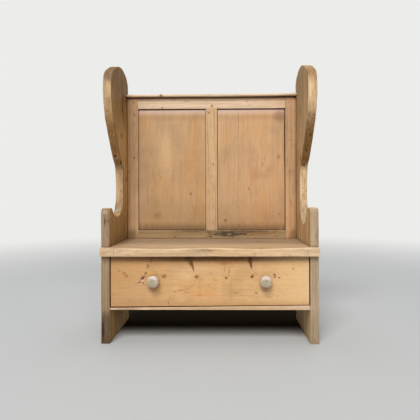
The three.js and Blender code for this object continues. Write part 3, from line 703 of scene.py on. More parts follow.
def iron(name):
    """Dark forged iron, with rust in patches and a dull, pitted face."""
    material = bpy.data.materials.new(name)
    shop = cleared(material)
    spot = shop.spot()
    rust = shop.fade(shop.noise(spot, 420.0, 4.0, 0.6), 0.42, 0.62)
    shop.show("ShaderNodeBsdfPrincipled", {
        "Base Color": shop.mix(rust, tone(66, 60, 56), tone(98, 62, 42)),
        "Roughness": shop.math("MULTIPLY_ADD", rust, 0.25, 0.55),
        "Metallic": 0.6,
        "Normal": shop.bump(Height=shop.noise(spot, 1600.0), Strength=0.5, Distance=0.0004),
    })
    return material


# The pieces
def box_of(node):
    """The lowest and highest corner of a solid."""
    return tuple(np.array(corner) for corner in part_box(node))


def edge_wear_light_and_shade(foot, greyed, worn, waxed, top):
    """Zones of tone up a side's front edge: dirty foot, greyed arm, pale neck and bulge, dark waist between
    them, darkened top. The neck and bulge are worn pale by hands and carry painted light where they face the
    front;
    the waist, which faces down under the wing, and the top carry painted shade. Each is a height from the
    floor and a tone."""
    return [
        (0.0, foot), (0.12, foot), (0.16, greyed), (0.61, greyed), (0.69, worn), (0.79, worn),
        (0.85, waxed), (0.98, waxed), (1.14, worn), (1.19, worn), (1.23, top), (1.31, top),
    ]


def face_tone_light_and_shade(low, neck, top):
    """The same for a side's flat faces, lighter round the neck and darker towards the top: the wood's tone
    with painted light and painted shade as light falls on the inner faces.
    """
    return [(0.0, low), (0.45, low), (0.7, neck), (0.95, neck), (1.2, top)]


# Tones up the sides, with painted light and painted shade over the wood's own tones and wear.
SIDE_FRONT = {
    "left": edge_wear_light_and_shade(
        tone(114, 98, 82), tone(164, 142, 118), tone(208, 178, 142), tone(170, 130, 88), tone(142, 120, 98),
    ),
    "right": edge_wear_light_and_shade(
        tone(176, 157, 130), tone(190, 170, 146), tone(230, 202, 170), tone(148, 112, 70),
        tone(170, 140, 104),
    ),
}
SIDE_FACES = {
    "left": face_tone_light_and_shade(tone(180, 152, 110), tone(220, 186, 134), tone(148, 116, 72)),
    "right": face_tone_light_and_shade(tone(230, 204, 163), tone(228, 199, 158), tone(212, 184, 146)),
}
# The left side's inner face, and how deep a mark on it goes.
WALL, INNER = box_of("left_side")[1][0], 0.012
# The right side's upper part stands this far out, growing from a height over a rise.
FLARE, FLARE_FROM, FLARE_RISE = 4 * MM, 0.75, 0.25


def nick(height, x, half_high, half_wide, stain=KNOT_DARK, strength=0.8):
    """A mark on the front edge of a side, which runs in through the board's depth."""
    return mark(height, 0.0, (half_high, FAR, half_wide), stain, strength, 1.0, 0.7, 0.0, x)


SIDE_MARKS = {
    "left": [
        mark(1.200, 0.0735, (0.120, 0.0072, INNER), SPLIT, 1.0, 0.5, 0.4, 0.0, WALL),
        mark(1.090, 0.094, (0.080, 0.0062, INNER), SPLIT, 0.9, 0.6, 0.5, -21.0, WALL),
        mark(0.953, -0.032, (0.150, 0.0058, INNER), SPLIT, 0.85, 0.5, 0.5, -35.8, WALL),
        mark(0.835, 0.060, (0.055, 0.0058, INNER), SPLIT, 0.75, 0.5, 0.6, -39.0, WALL),
        mark(0.72, 0.094, (0.09, 0.009, INNER), SPLIT, 0.7, 0.6, 0.9, 0.0, WALL),
        mark(0.88, 0.150, (0.12, 0.008), BROWN, 0.7, 0.8, 0.9),
        mark(1.2, 0.02, (0.07, 0.01), BROWN, 0.4, 0.8, 0.9),
        mark(0.5, 0.1, (0.12, 0.03), BROWN, 0.35, 1.0, 0.9),
        mark(0.5, -0.02, (0.1, 0.02), BROWN, 0.25, 1.0, 0.9),
        nick(0.556, -0.4775, 0.034, 0.0046, tone(92, 56, 46), 0.9),
        nick(0.60, -0.476, 0.012, 0.016, tone(196, 176, 152), 0.5),
        nick(0.06, -0.486, 0.06, 0.009, tone(52, 36, 26), 0.75),
        nick(0.9, -0.478, 0.006, 0.006), nick(0.872, -0.482, 0.01, 0.009),
        nick(0.852, -0.472, 0.006, 0.008, BROWN, 0.8), nick(0.7, -0.47, 0.006, 0.004),
        nick(0.722, -0.481, 0.004, 0.004, BROWN, 0.7),
    ],
    "right": [
        mark(1.154, 0.019, (0.03, 0.008), SPLIT, 0.6, 0.8, 0.9, 4.0),
        mark(1.11, 0.068, (0.05, 0.009), SPLIT, 0.6, 0.8, 0.9, -4.0),
        mark(0.87, 0.12, (0.05, 0.010), BROWN, 0.7, 0.8, 0.9),
        mark(0.78, 0.10, (0.06, 0.008), SPLIT, 0.5, 0.8, 0.9),
        mark(0.55, 0.11, (0.06, 0.014), BROWN, 0.6, 0.9, 0.9),
        mark(0.5, 0.14, (0.05, 0.02), tone(150, 92, 48), 0.4, 0.9, 0.9),
        nick(0.829, 0.474, 0.008, 0.009), nick(0.711, 0.472, 0.008, 0.004, BROWN),
        nick(0.673, 0.474, 0.006, 0.006, BROWN), nick(0.895, 0.477, 0.005, 0.007),
        nick(0.94, 0.47, 0.007, 0.006, BROWN), nick(0.965, 0.483, 0.006, 0.007),
        nick(0.99, 0.474, 0.005, 0.006, BROWN), nick(1.05, 0.487, 0.006, 0.008, BROWN),
        nick(0.3, 0.468, 0.2, 0.0016, BROWN, 0.7),
        nick(0.2, 0.486, 0.16, 0.0014, BROWN, 0.6),
        nick(0.5, 0.489, 0.09, 0.006, GREY, 0.6),
    ],
}
SIDE_KNOTS = {
    "left": [(0.98, 0.06, 0.009, 0.7), (0.24, -0.06, 0.012, 0.8), (0.76, 0.15, 0.009, 0.7)],
    "right": [(0.86, 0.06, 0.01, 0.8), (0.74, 0.15, 0.008, 0.7), (0.3, 0.02, 0.013, 0.8)],
}


def make_sides():
    for hand, sign in (("left", -1), ("right", 1)):
        low, high = box_of(f"{hand}_side")
        plan, cells, loop = side_plan(hand)
        plan = plan + np.array([SIDES_FRONT, 0])
        edge = plan.reshape(-1, 2)[loop]
        spots = np.column_stack([0 * edge[:, 0], edge])
        radius = 1.9 * MM * (1 + 0.35 * ripple(spots, 0.10, 5 + sign))
        at_foot = edge[:, 1] < 10 * MM
        radius = np.where(at_foot, 1.2 * MM, radius)
        verts, quads = slab(plan, cells, loop, low[0], high[0], radius, radius, facing_right)
        if hand == "right":
            flare = FLARE * np.clip((verts[:, 2] - FLARE_FROM) / FLARE_RISE, 0, 1)
            verts[:, 0] += np.where(verts[:, 0] > low[0] + 0.5 * (high[0] - low[0]), flare, 0)
        material = wood(
            f"{hand} side pine", "ZYX", pith=(0.05, sign * 0.62), seed=2.1 + sign, ring=6 * MM, figure=0.4,
            streaks=0.85, mottle=0.5, rough=0.78, knots=SIDE_KNOTS[hand], marks=SIDE_MARKS[hand],
            worn=(0.8, tone(220, 196, 160)), corner_dirt_and_shade=0.6, heights=SIDE_FACES[hand],
            front_heights=SIDE_FRONT[hand], scuffs=1.0, gloss=0.03, outer=sign,
        )
        uneven = (0.3 * MM, 0.09, 11 + sign)
        solid = f"{hand}_side"
        piece(solid + "_board", (verts, quads), uneven, "bench", material, [solid])


# The seat is worn hollow this deep at two places this far from the middle, each about this wide and
# reaching this far back from the nosing.
HOLLOW, HOLLOW_AT, HOLLOW_WIDTH, HOLLOW_REACH = 8 * MM, 0.22, 0.13, 100 * MM


def make_seat():
    low, high = box_of("seat_front_board")
    across = np.concatenate([
        lines(low[0], WALL, 12 * MM, 7 * MM)[:-1], lines(WALL, -WALL, 10 * MM),
        lines(-WALL, high[0], 12 * MM, 7 * MM)[1:],
    ])
    up = np.concatenate([[low[1], low[1] + 20 * MM], lines(SIDES_FRONT, high[1], 10 * MM)])
    plan = flat_grid(across, up)
    rows, columns = plan.shape[:2]
    left = int(np.argmin(abs(across - WALL)))
    right = int(np.argmin(abs(across + WALL)))
    front = int(np.argmin(abs(up - SIDES_FRONT)))
    keep = np.ones((rows - 1, columns - 1), bool)
    keep[front:, :left] = False
    keep[front:, right:] = False
    corners = [
        (0, 0), (0, columns - 1), (front, columns - 1), (front, right), (rows - 1, right),
        (rows - 1, left), (front, left), (front, 0),
    ]
    loop = path_through(corners, columns)
    edge = plan.reshape(-1, 2)[loop]
    spots = np.column_stack([edge, 0 * edge[:, 0]])
    at_front = edge[:, 1] < low[1] + 1e-6
    at_end = abs(edge[:, 0]) > high[0] - 1e-6
    rounding = 7 * MM * (1 + 0.1 * ripple(spots, 0.09, 3))
    rounding *= np.clip((high[0] - abs(edge[:, 0])) / (35 * MM), 0.5, 1)
    top = np.where(at_front, rounding, np.where(at_end, 3.5 * MM, 0.5 * MM))
    under = np.where(at_front, 2.2 * MM, np.where(at_end, 2 * MM, 0.5 * MM))
    verts, quads = slab(plan, cells_of(rows, columns, keep), loop, low[2], high[2], under, top, facing_up)
    sat_on = np.exp(-(((abs(verts[:, 0]) - HOLLOW_AT) / HOLLOW_WIDTH) ** 2))
    near_front = np.clip(1 - (verts[:, 1] - low[1]) / HOLLOW_REACH, 0, 1) ** 2
    level = np.clip((verts[:, 2] - low[2]) / (high[2] - low[2]), 0, 1)
    verts[:, 2] -= HOLLOW * sat_on * near_front * level**2
    nose = low[1]
    marks = [
        mark(0.0, high[1], (FAR, 0.15), tone(171, 149, 124), 0.9, 0.4, 1.0),
        mark(0.0, nose + 0.026, (FAR, 0.020, 0.014), tone(176, 147, 114), 0.7, 0.4, 0.8, 0.0, 0.437),
        mark(-0.04, nose, (0.085, 0.012, 0.03), GREY, 0.4, 1.8, 0.9, 0.0, 0.428),
        mark(0.0, nose, (0.06, 0.012, 0.006), tone(132, 100, 72), 0.5, 2.0, 0.9, 0.0, 0.43),
        mark(-0.478, nose, (0.02, 0.04, 0.014), tone(186, 134, 84), 0.5, 1.0, 0.9, 0.0, 0.418),
        mark(-0.431, nose, (0.0022, 0.04, 0.02), BROWN, 0.6, 0.4, 0.7, 0.0, 0.42),
        mark(0.44, nose, (0.0022, 0.04, 0.02), BROWN, 0.4, 0.4, 0.7, 0.0, 0.42),
        mark(-0.222, -0.14, (0.05, 0.006), BROWN, 0.5), mark(0.193, -0.144, (0.04, 0.006), BROWN, 0.5),
        mark(-0.218, -0.092, (0.04, 0.008), BROWN, 0.35), mark(0.17, -0.096, (0.035, 0.008), BROWN, 0.35),
    ]
    material = wood(
        "seat front pine", "XYZ", base=tone(222, 192, 156), pith=(-0.05, 0.36), seed=4.1, ring=5 * MM,
        figure=0.4, streaks=0.7, mottle=0.5, rough=0.5, marks=marks, worn=(0.5, tone(238, 212, 174)),
        scuffs=0.9, knots=[(0.235, -0.172, 0.007, 0.5), (-0.33, -0.07, 0.008, 0.5)],
    )
    uneven = (0.35 * MM, 0.08, 21)
    piece("seat_front_plank", (verts, quads), uneven, "bench", material, ["seat_front_board"])

    low, high = box_of("seat_rear_board")
    low[0], high[0] = WALL, -WALL
    surface = board_between(low, high, facing_up, 0.9 * MM, 10 * MM)
    marks = [
        mark(0.24, 0.03, (0.06, 0.02), BROWN, 0.5, 0.9), mark(-0.14, 0.06, (0.08, 0.02), BROWN, 0.3, 0.9),
        # Darker along the back edge, where the seat meets the back: dirt and painted shade.
        mark(0.0, 0.165, (0.5, 0.02), DIRT_AND_SHADE, 0.4, 0.8, 0.9),
    ]
    material = wood(
        "seat rear pine", "XYZ", base=tone(177, 155, 130), pith=(0.1, 0.33), seed=5.2, ring=6 * MM,
        figure=0.5, streaks=0.8, mottle=0.5, rough=0.5, knots=[(0.236, 0.021, 0.012, 0.5)], marks=marks,
    )
    uneven = (0.25 * MM, 0.1, 22)
    piece("seat_rear_plank", surface, uneven, "bench", material, ["seat_rear_board"])


def put_back_board(name, low, high, solid, slot, arris=1 * MM, **finish):
    """A straight board of the back, in a solid's place, with its finish given as wood's values."""
    surface = board_between(np.array(low), np.array(high), facing_front, arris, 12 * MM)
    material = wood(name.replace("_", " "), one_face=True, **finish)
    piece(name, surface, (0.15 * MM, 0.12, int(finish["seed"] * 10)), "bench", material, [solid])


def joint(along, across, size, strength=0.85):
    """The dark line where one board stands behind another's edge: dirt in the gap, and painted shadow where
    the front board's edge throws one.
    """
    return mark(along, across, size, tone(40, 26, 16), strength, 0.15, 0.6)


# How far the top rail's lower edge lies below the shaped solid's, as it has sagged and worn.
RAIL_DROP = 4 * MM


def make_frame():
    low, high = box_of("back_left_stile")
    stile_in, front, rear = high[0], low[1], high[1]
    muntin_top = box_of("back_top_rail")[0][2] - RAIL_DROP
    rail_top = box_of("back_bottom_rail")[1][2]
    put_back_board(
        "left_stile_board", low, high, "back_left_stile", "frame_pine", run="ZXY",
        base=tone(203, 167, 128), pith=(-0.36, 0.24), seed=6.1, ring=4 * MM, figure=0.4, scuffs=0.8,
        knots=[(1.179, -0.422, 0.003, 0.9), (1.108, -0.416, 0.0035, 0.8), (0.879, -0.419, 0.004, 0.8)],
        marks=[
            mark(0.802, -0.446, (0.008, 0.0035), KNOT_DARK, 0.7),
            # Darker in the corner above the seat: dirt and painted shade.
            mark(0.46, -0.43, (0.04, 0.04), tone(98, 80, 48), 0.45),
            # The dark band at the top is the cap's painted shadow; the lines at the stile's edges are dirt
            # and painted shadow in the joints.
            joint(1.205, -0.43, (0.012, FAR)), joint(0.8, -0.458, (FAR, 0.006), 0.6),
            joint(0.8, -0.396, (FAR, 0.0022), 0.5),
        ],
    )
    put_back_board(
        "right_stile_board", *box_of("back_right_stile"), "back_right_stile", "frame_pine", run="ZXY",
        base=tone(214, 176, 138), pith=(0.33, 0.24), seed=6.9, ring=4 * MM, figure=0.4, scuffs=0.8,
        knots=[(0.97, 0.43, 0.003, 0.3)],
        marks=[
            # Darker in the corner above the seat: dirt and painted shade.
            mark(0.46, 0.44, (0.05, 0.03), DIRT_AND_SHADE, 0.4),
            mark(0.8, 0.452, (0.3, 0.006), tone(128, 96, 70), 0.5),
            # The dark band at the top is the cap's painted shadow; the lines at the stile's edges are dirt
            # and painted shadow in the joints.
            joint(1.205, 0.43, (0.012, FAR)), joint(0.8, 0.458, (FAR, 0.006), 0.7),
            joint(0.8, 0.397, (FAR, 0.0022), 0.6),
        ],
    )
    high = box_of("back_top_rail")[1]
    put_back_board(
        "top_rail_board", (stile_in, front, muntin_top), (-stile_in, rear, high[2]), "back_top_rail",
        "frame_pine", run="XZY", base=tone(226, 198, 168), pith=(1.25, 0.26), seed=7.3, ring=4 * MM,
        figure=0.3, streaks=0.45, mottle=0.4, scuffs=0.8,
        knots=[(0.004, 1.1545, 0.004, 0.9), (-0.266, 1.1464, 0.003, 0.9), (0.19, 1.18, 0.003, 0.4)],
        # Under the cap: its painted shadow, a dark line and a wider brown band.
        marks=[joint(0.0, 1.206, (FAR, 0.014), 0.9), mark(0.0, 1.196, (FAR, 0.02), BROWN, 0.4)],
    )
    low = box_of("back_bottom_rail")[0]
    put_back_board(
        "bottom_rail_board", (stile_in, front, low[2]), (-stile_in, rear, rail_top), "back_bottom_rail",
        "frame_pine", run="XZY", base=tone(176, 150, 114), pith=(0.4, 0.25), seed=8.4, ring=4 * MM,
        streaks=0.8, scuffs=1.0,
        knots=[(0.338, 0.4736, 0.004, 0.8), (-0.2, 0.45, 0.004, 0.6)],
        marks=[
            mark(0.085, 0.466, (0.15, 0.026), DIRT, 0.85, 1.9, 0.9),
            mark(0.12, 0.462, (0.10, 0.012), DIRT, 0.7, 1.5), mark(0.2, 0.478, (0.16, 0.010), DIRT, 0.6, 1.2),
            mark(-0.1, 0.482, (0.12, 0.012), DIRT, 0.5, 1.6), mark(-0.005, 0.4517, (0.014, 0.005), DIRT, 0.9),
            mark(0.25, 0.47, (0.14, 0.03), BROWN, 0.4, 1.2),
            mark(0.094, 0.4635, (0.02, 0.0024), tone(214, 200, 184), 0.9),
            mark(-0.04, 0.4665, (0.018, 0.002), tone(190, 172, 150), 0.6),
        ],
    )
    low, high = box_of("back_muntin")
    put_back_board(
        "muntin_board", (low[0], front, rail_top), (high[0], rear, muntin_top), "back_muntin",
        "frame_pine", run="ZXY", base=tone(212, 178, 140), pith=(0.07, 0.22), seed=9.7, ring=4 * MM,
        streaks=0.7, scuffs=0.9, knots=[(1.12, -0.014, 0.003, 0.9), (0.84, 0.008, 0.004, 0.5)],
        marks=[
            mark(1.06, -0.02, (0.035, 0.0014), BROWN, 0.7), mark(1.0, -0.024, (0.03, 0.0014), BROWN, 0.7),
            mark(0.965, -0.0216, (0.02, 0.0016), BROWN, 0.7), mark(0.6, 0.004, (0.05, 0.002), BROWN, 0.5),
            mark(0.52, 0.0, (0.05, 0.04), tone(190, 150, 122), 0.5),
        ],
    )


def make_panels():
    solids = ["panel_left", "panel_right_narrow_board", "panel_right_wide_board"]
    left, narrow, wide = (box_of(solid) for solid in solids)
    seam = 0.5 * (narrow[1][0] + wide[0][0])
    narrow[1][0], wide[0][0] = seam, seam
    shared = [
        mark(1.143, 0.0, (0.046, FAR), tone(218, 190, 178), 0.7, 0.25, 0.9),
        mark(1.094, 0.0, (0.026, FAR), tone(168, 128, 94), 0.3, 0.5, 0.95),
        mark(0.54, 0.0, (0.14, FAR), tone(166, 126, 84), 0.4, 0.5, 1.0),
        mark(0.487, 0.0, (0.05, FAR), tone(110, 84, 54), 0.75, 0.6, 0.95),
        # The line under the top rail is the rail's painted shadow on the recessed panels.
        joint(1.140, 0.0, (0.0065, FAR), 0.95),
        joint(0.485, 0.0, (0.005, FAR), 0.8),
    ]
    finish = {"run": "ZXY", "mottle": 0.8, "rough": 0.44, "scuffs": 0.3}
    put_back_board(
        "panel_left_plank", *left, solids[0], "panel_pine", base=tone(199, 161, 120), pith=(-0.2, 0.215),
        seed=10.2, figure=0.10, streaks=0.15, **finish,
        knots=[(0.6815, -0.1134, 0.004, 0.7), (0.7725, -0.2762, 0.004, 0.35)],
        marks=shared + [
            joint(0.8, -0.399, (FAR, 0.0045), 0.8), joint(0.8, -0.03, (FAR, 0.0045), 0.7),
            mark(0.85, -0.135, (0.28, 0.014), tone(192, 138, 90), 0.45, 0.9, 0.95),
            mark(0.9, -0.245, (0.22, 0.05), tone(218, 176, 132), 0.5, 0.7, 0.95),
            mark(0.565, -0.295, (0.03, 0.035), tone(132, 98, 66), 0.5, 1.2, 0.95),
            mark(0.587, -0.09, (0.06, 0.035), tone(170, 122, 74), 0.45, 1.0, 0.95),
            mark(0.6, -0.38, (0.2, 0.02), tone(182, 148, 112), 0.4, 0.8, 0.95),
        ],
    )
    put_back_board(
        "panel_right_narrow_plank", *narrow, solids[1], "panel_pine", arris=0.8 * MM,
        base=tone(206, 168, 130), pith=(0.02, 0.22), seed=11.8, figure=0.14, streaks=0.17, **finish,
        knots=[(0.5365, 0.0737, 0.0055, 0.9)],
        marks=shared + [
            joint(0.8, 0.03, (FAR, 0.0045), 0.75), joint(0.8, 0.1474, (FAR, 0.0022), 0.5),
            mark(0.75, 0.045, (0.2, 0.012), tone(176, 140, 104), 0.4, 0.9, 0.95),
            mark(0.563, 0.055, (0.06, 0.03), tone(196, 148, 106), 0.4, 0.9, 0.95),
        ],
    )
    put_back_board(
        "panel_right_wide_plank", *wide, solids[2], "panel_pine", arris=0.8 * MM,
        base=tone(210, 168, 126), pith=(0.27, 0.205), seed=12.6, figure=0.10, streaks=0.15, **finish,
        knots=[(0.8804, 0.363, 0.007, 0.35), (0.7075, 0.2005, 0.004, 0.5)],
        marks=shared + [
            joint(0.98, 0.3965, (0.26, 0.0075), 0.85), joint(0.7, 0.3975, (FAR, 0.0055), 0.85),
            mark(0.7886, 0.2345, (0.075, 0.036), tone(188, 130, 86), 0.55, 0.7, 0.95),
            mark(0.84, 0.275, (0.016, 0.012), tone(150, 124, 100), 0.45, 1.0, 0.9),
            mark(0.87, 0.2865, (0.02, 0.005), tone(146, 120, 98), 0.45, 1.0, 0.9),
            # Painted shade in the panel's top right corner, under the top rail and beside the stile.
            mark(1.1, 0.368, (0.045, 0.045), tone(152, 114, 86), 0.6, 0.3, 0.7),
            mark(0.5719, 0.3665, (0.01, 0.009), tone(108, 78, 54), 0.6, 1.0, 0.9),
            mark(0.5495, 0.3057, (0.03, 0.05), tone(170, 138, 114), 0.4, 0.9, 0.95),
            mark(0.6, 0.375, (0.3, 0.018), tone(182, 142, 108), 0.4, 0.9, 0.95),
        ],
    )


# How far the cap's right end has lifted.
CAP_LIFT = 3 * MM


def make_cap():
    low, high = box_of("back_cap")
    plan = flat_grid(lines(low[0], high[0], 12 * MM), lines(low[1], high[1], 8 * MM, 8 * MM))
    rows, columns = plan.shape[:2]
    loop = rim_path(rows, columns)
    edge = plan.reshape(-1, 2)[loop]
    spots = np.column_stack([edge, 0 * edge[:, 0]])
    nose = 4.2 * MM * (1 + 0.12 * ripple(spots, 0.07, 8))
    arris = np.where(edge[:, 1] < low[1] + 1e-6, nose, 1 * MM)
    verts, quads = slab(plan, cells_of(rows, columns), loop, low[2], high[2], arris, arris, facing_up)
    verts[:, 2] += CAP_LIFT * np.clip(verts[:, 0] / high[0], 0, 1) ** 2
    material = wood(
        "cap pine", "XYZ", base=tone(236, 214, 188), pith=(0.15, 1.0), seed=13.4, ring=4 * MM,
        figure=0.35, streaks=0.4, mottle=0.5, rough=0.5, worn=(0.6, tone(240, 220, 190)),
        knots=[(-0.27, 0.16, 0.004, 0.9), (0.12, 0.17, 0.003, 0.5)],
    )
    piece("cap_board", (verts, quads), (0.2 * MM, 0.09, 31), "bench", material, ["back_cap"])


def slanted_board(low, high, left_bottom, right_bottom, left_top, right_top, arris, close=((), ())):
    """A front board whose lower and upper edges run straight between the heights at its two ends."""
    across = lines(low[0], high[0], 9 * MM, close=close[0])
    share = (lines(low[2], high[2], 7 * MM, close=close[1]) - low[2]) / (high[2] - low[2])
    along = (across - low[0]) / (high[0] - low[0])
    bottom = left_bottom + (right_bottom - left_bottom) * along
    top = left_top + (right_top - left_top) * along
    rise = bottom[None, :] + (top - bottom)[None, :] * share[:, None]
    plan = np.stack(np.broadcast_arrays(across[None, :], rise), -1)
    rows, columns = plan.shape[:2]
    cells, loop = cells_of(rows, columns), rim_path(rows, columns)
    return slab(plan, cells, loop, -high[1], -low[1], arris, arris, facing_front)


DRAWER_KNOTS = [
    (-0.2664, 0.3874, 0.005, 0.7), (-0.279, 0.353, 0.005, 0.5), (-0.4119, 0.331, 0.004, 0.7),
    (-0.3909, 0.3195, 0.0045, 0.8), (-0.3802, 0.3073, 0.0045, 0.9), (-0.2075, 0.3062, 0.006, 0.8),
    (-0.0589, 0.3043, 0.0055, 0.9), (0.076, 0.2986, 0.004, 0.9), (0.1936, 0.3043, 0.0046, 1.0),
    (0.2958, 0.3119, 0.0040, 1.0), (0.3165, 0.2987, 0.003, 0.9), (0.3809, 0.3403, 0.0045, 0.7),
    (0.2125, 0.2301, 0.004, 0.7), (0.31, 0.215, 0.003, 0.3), (-0.16, 0.235, 0.003, 0.4),
]
GOLDEN, RUST, RUST_BROWN = tone(226, 168, 70), tone(128, 62, 16), tone(150, 84, 44)
STREAK_BROWN = tone(108, 68, 30)
DRAWER_MARKS = [
    # A dark band under the seat's nosing: the nosing's painted shadow, with dirt.
    mark(0.0, 0.394, (FAR, 0.054), tone(172, 120, 70), 0.55, 0.3, 0.9),
    mark(0.0, 0.394, (FAR, 0.030), tone(94, 56, 14), 0.85, 0.2, 0.6),
    mark(0.5, 0.28, (0.4, FAR), tone(244, 206, 154), 0.5, 0.5, 1.0),
    mark(0.0, 0.166, (FAR, 0.045), tone(186, 136, 86), 0.55, 0.6, 0.9),
    mark(-0.3, 0.30, (0.05, 0.045), tone(232, 184, 132), 0.45, 0.6, 0.95),
    mark(-0.0135, 0.225, (0.13, 0.03), tone(224, 152, 94), 0.45, 0.8, 0.95),
    mark(-0.105, 0.31, (0.06, 0.04), tone(234, 192, 140), 0.5, 0.8, 0.95),
    mark(0.26, 0.29, (0.12, 0.05), tone(236, 192, 136), 0.4, 0.8, 0.95),
    mark(0.045, 0.27, (0.016, 0.11), tone(238, 200, 150), 0.15, 0.9, 0.95),
    mark(0.098, 0.25, (0.012, 0.09), tone(180, 130, 84), 0.3, 0.9, 0.95),
    mark(-0.045, 0.26, (0.014, 0.10), tone(186, 134, 86), 0.25, 0.9, 0.95),
    mark(-0.155, 0.29, (0.020, 0.09), tone(236, 196, 146), 0.15, 0.9, 0.95),
    mark(0.4411, 0.28, (0.012, 0.13), tone(220, 190, 152), 0.55, 0.5, 0.9),
    mark(-0.5, 0.28, (0.42, FAR), tone(186, 140, 92), 0.6, 0.5, 1.0),
    mark(-0.3107, 0.274, (0.026, 0.018), tone(214, 160, 136), 0.5, 1.2, 0.9),
    mark(-0.304, 0.302, (0.030, 0.014), tone(150, 100, 62), 0.5, 1.0, 0.9, 40.0),
    mark(-0.2915, 0.3196, (0.0115, 0.0042), tone(88, 54, 46), 0.9, 1.4, 0.5, 20.0),
    mark(-0.3070, 0.2965, (0.0125, 0.0052), tone(50, 28, 14), 0.9, 1.6, 0.5, 35.0),
    mark(-0.3205, 0.2792, (0.0075, 0.0042), tone(98, 66, 32), 0.9, 1.2, 0.5),
    mark(-0.3045, 0.2862, (0.0065, 0.0050), tone(220, 196, 184), 0.8, 0.8, 0.6),
    mark(-0.2985, 0.3065, (0.0100, 0.0026), STREAK_BROWN, 0.8, 0.8, 0.4, 30.0),
    mark(-0.3040, 0.2750, (0.0110, 0.0028), STREAK_BROWN, 0.9, 0.6, 0.4, -50.0),
    mark(-0.2694, 0.3214, (0.024, 0.007), GOLDEN, 0.9, 0.9, 0.8),
    mark(-0.2837, 0.3538, (0.007, 0.022), STREAK_BROWN, 0.4, 1.0, 0.9, -10.0),
    mark(-0.2664, 0.38, (0.007, 0.016), STREAK_BROWN, 0.7, 0.8, 0.8),
    mark(-0.0945, 0.388, (0.030, 0.022), tone(80, 52, 18), 0.85, 0.7, 0.8),
    mark(-0.0845, 0.368, (0.016, 0.032), STREAK_BROWN, 0.9, 0.5, 0.8, 14.0),
    mark(-0.0755, 0.346, (0.0065, 0.030), STREAK_BROWN, 0.85, 0.5, 0.8, 12.0),
    mark(0.1850, 0.381, (0.016, 0.026), tone(84, 52, 20), 0.95, 0.4, 0.7, 4.0),
    mark(0.1885, 0.360, (0.0085, 0.028), STREAK_BROWN, 0.95, 0.4, 0.7, 6.0),
    mark(0.0667, 0.366, (0.055, 0.018), RUST_BROWN, 0.4, 1.0, 0.9),
    mark(0.0685, 0.3385, (0.0022, 0.026), STREAK_BROWN, 0.55, 0.5, 0.8),
    mark(0.0885, 0.325, (0.004, 0.034), STREAK_BROWN, 0.5, 0.7, 0.9, -8.0),
    mark(-0.1888, 0.1863, (0.0013, 0.017), SPLIT, 0.9, 0.3, 0.6),
    mark(0.1925, 0.3035, (0.0075, 0.0055), RUST, 1.0, 1.0, 0.35),
    mark(0.1965, 0.3130, (0.0060, 0.0032), RUST, 0.8, 1.0, 0.4, 20.0),
    mark(0.2955, 0.3135, (0.0042, 0.0062), RUST, 1.0, 1.0, 0.35),
    mark(0.2975, 0.3025, (0.0100, 0.0032), RUST, 0.8, 1.0, 0.4, 30.0),
    mark(0.3165, 0.2990, (0.0034, 0.0042), RUST, 0.8, 1.0, 0.4),
    mark(-0.0600, 0.3045, (0.0046, 0.0030), SPLIT, 0.5, 1.0, 0.6),
    mark(-0.13, 0.243, (0.03, 0.004), STREAK_BROWN, 0.35, 1.2, 0.9, 10.0),
    mark(-0.11, 0.232, (0.022, 0.003), STREAK_BROWN, 0.35, 1.2, 0.9, -8.0),
]


def make_drawer_front():
    low, high = box_of("drawer_front")
    sides = [box_of(f"drawer_{hand}_side")[0][2] for hand in ("left", "right")]
    # Closer grid lines round the three dents at the splits beside the left knob
    close = ([(-0.305, 0.03, 2 * MM)], [(0.3, 0.032, 2 * MM)])
    surface = slanted_board(low, high, *sides, high[2], high[2], 1.4 * MM, close)
    dents = [
        ((-0.2953, low[1], 0.3195), (0.010, 0.01, 0.0035), 3.0 * MM),
        ((-0.3087, low[1], 0.3000), (0.007, 0.01, 0.0060), 4.0 * MM),
        ((-0.3210, low[1], 0.2860), (0.008, 0.01, 0.0045), 3.0 * MM),
    ]
    material = wood(
        "drawer front pine", "XZY", base=tone(220, 178, 130), pith=(0.30, -0.10), seed=15.5, figure=0.12,
        streaks=0.16, mottle=0.7, rough=0.46, knots=DRAWER_KNOTS, marks=DRAWER_MARKS,
        worn=(0.35, tone(238, 204, 160)), scuffs=0.85,
    )
    uneven = (0.25 * MM, 0.09, 41, dents)
    piece("drawer_front_board", surface, uneven, "drawer", material, ["drawer_front"])


def make_front_rail():
    low, high = box_of("front_rail")
    low[0], high[0] = WALL, -WALL
    left_top = high[2] - 12 * MM
    surface = slanted_board(low, high, low[2], low[2], left_top, high[2], 1 * MM)
    material = wood(
        "front rail pine", "XZY", base=tone(224, 194, 162), pith=(0.05, -0.1), seed=16.1, ring=4 * MM,
        figure=0.3, streaks=0.4, mottle=0.5, marks=[mark(-0.38, 0.158, (0.08, 0.01), BROWN, 0.4)],
    )
    uneven = (0.15 * MM, 0.1, 43)
    piece("front_rail_board", surface, uneven, "bench", material, ["front_rail"])


# The knobs' length, and their radius at the rim, in the waist and at the drawer front
KNOB_LENGTH, KNOB_RIM, KNOB_NECK, KNOB_BASE = 0.039, 0.02925, 0.0135, 0.0165
# How wide a knob is as a share of its height
KNOB_OVAL = 0.93
SPIGOT_RADIUS, SPIGOT_LENGTH = 0.007, 0.024


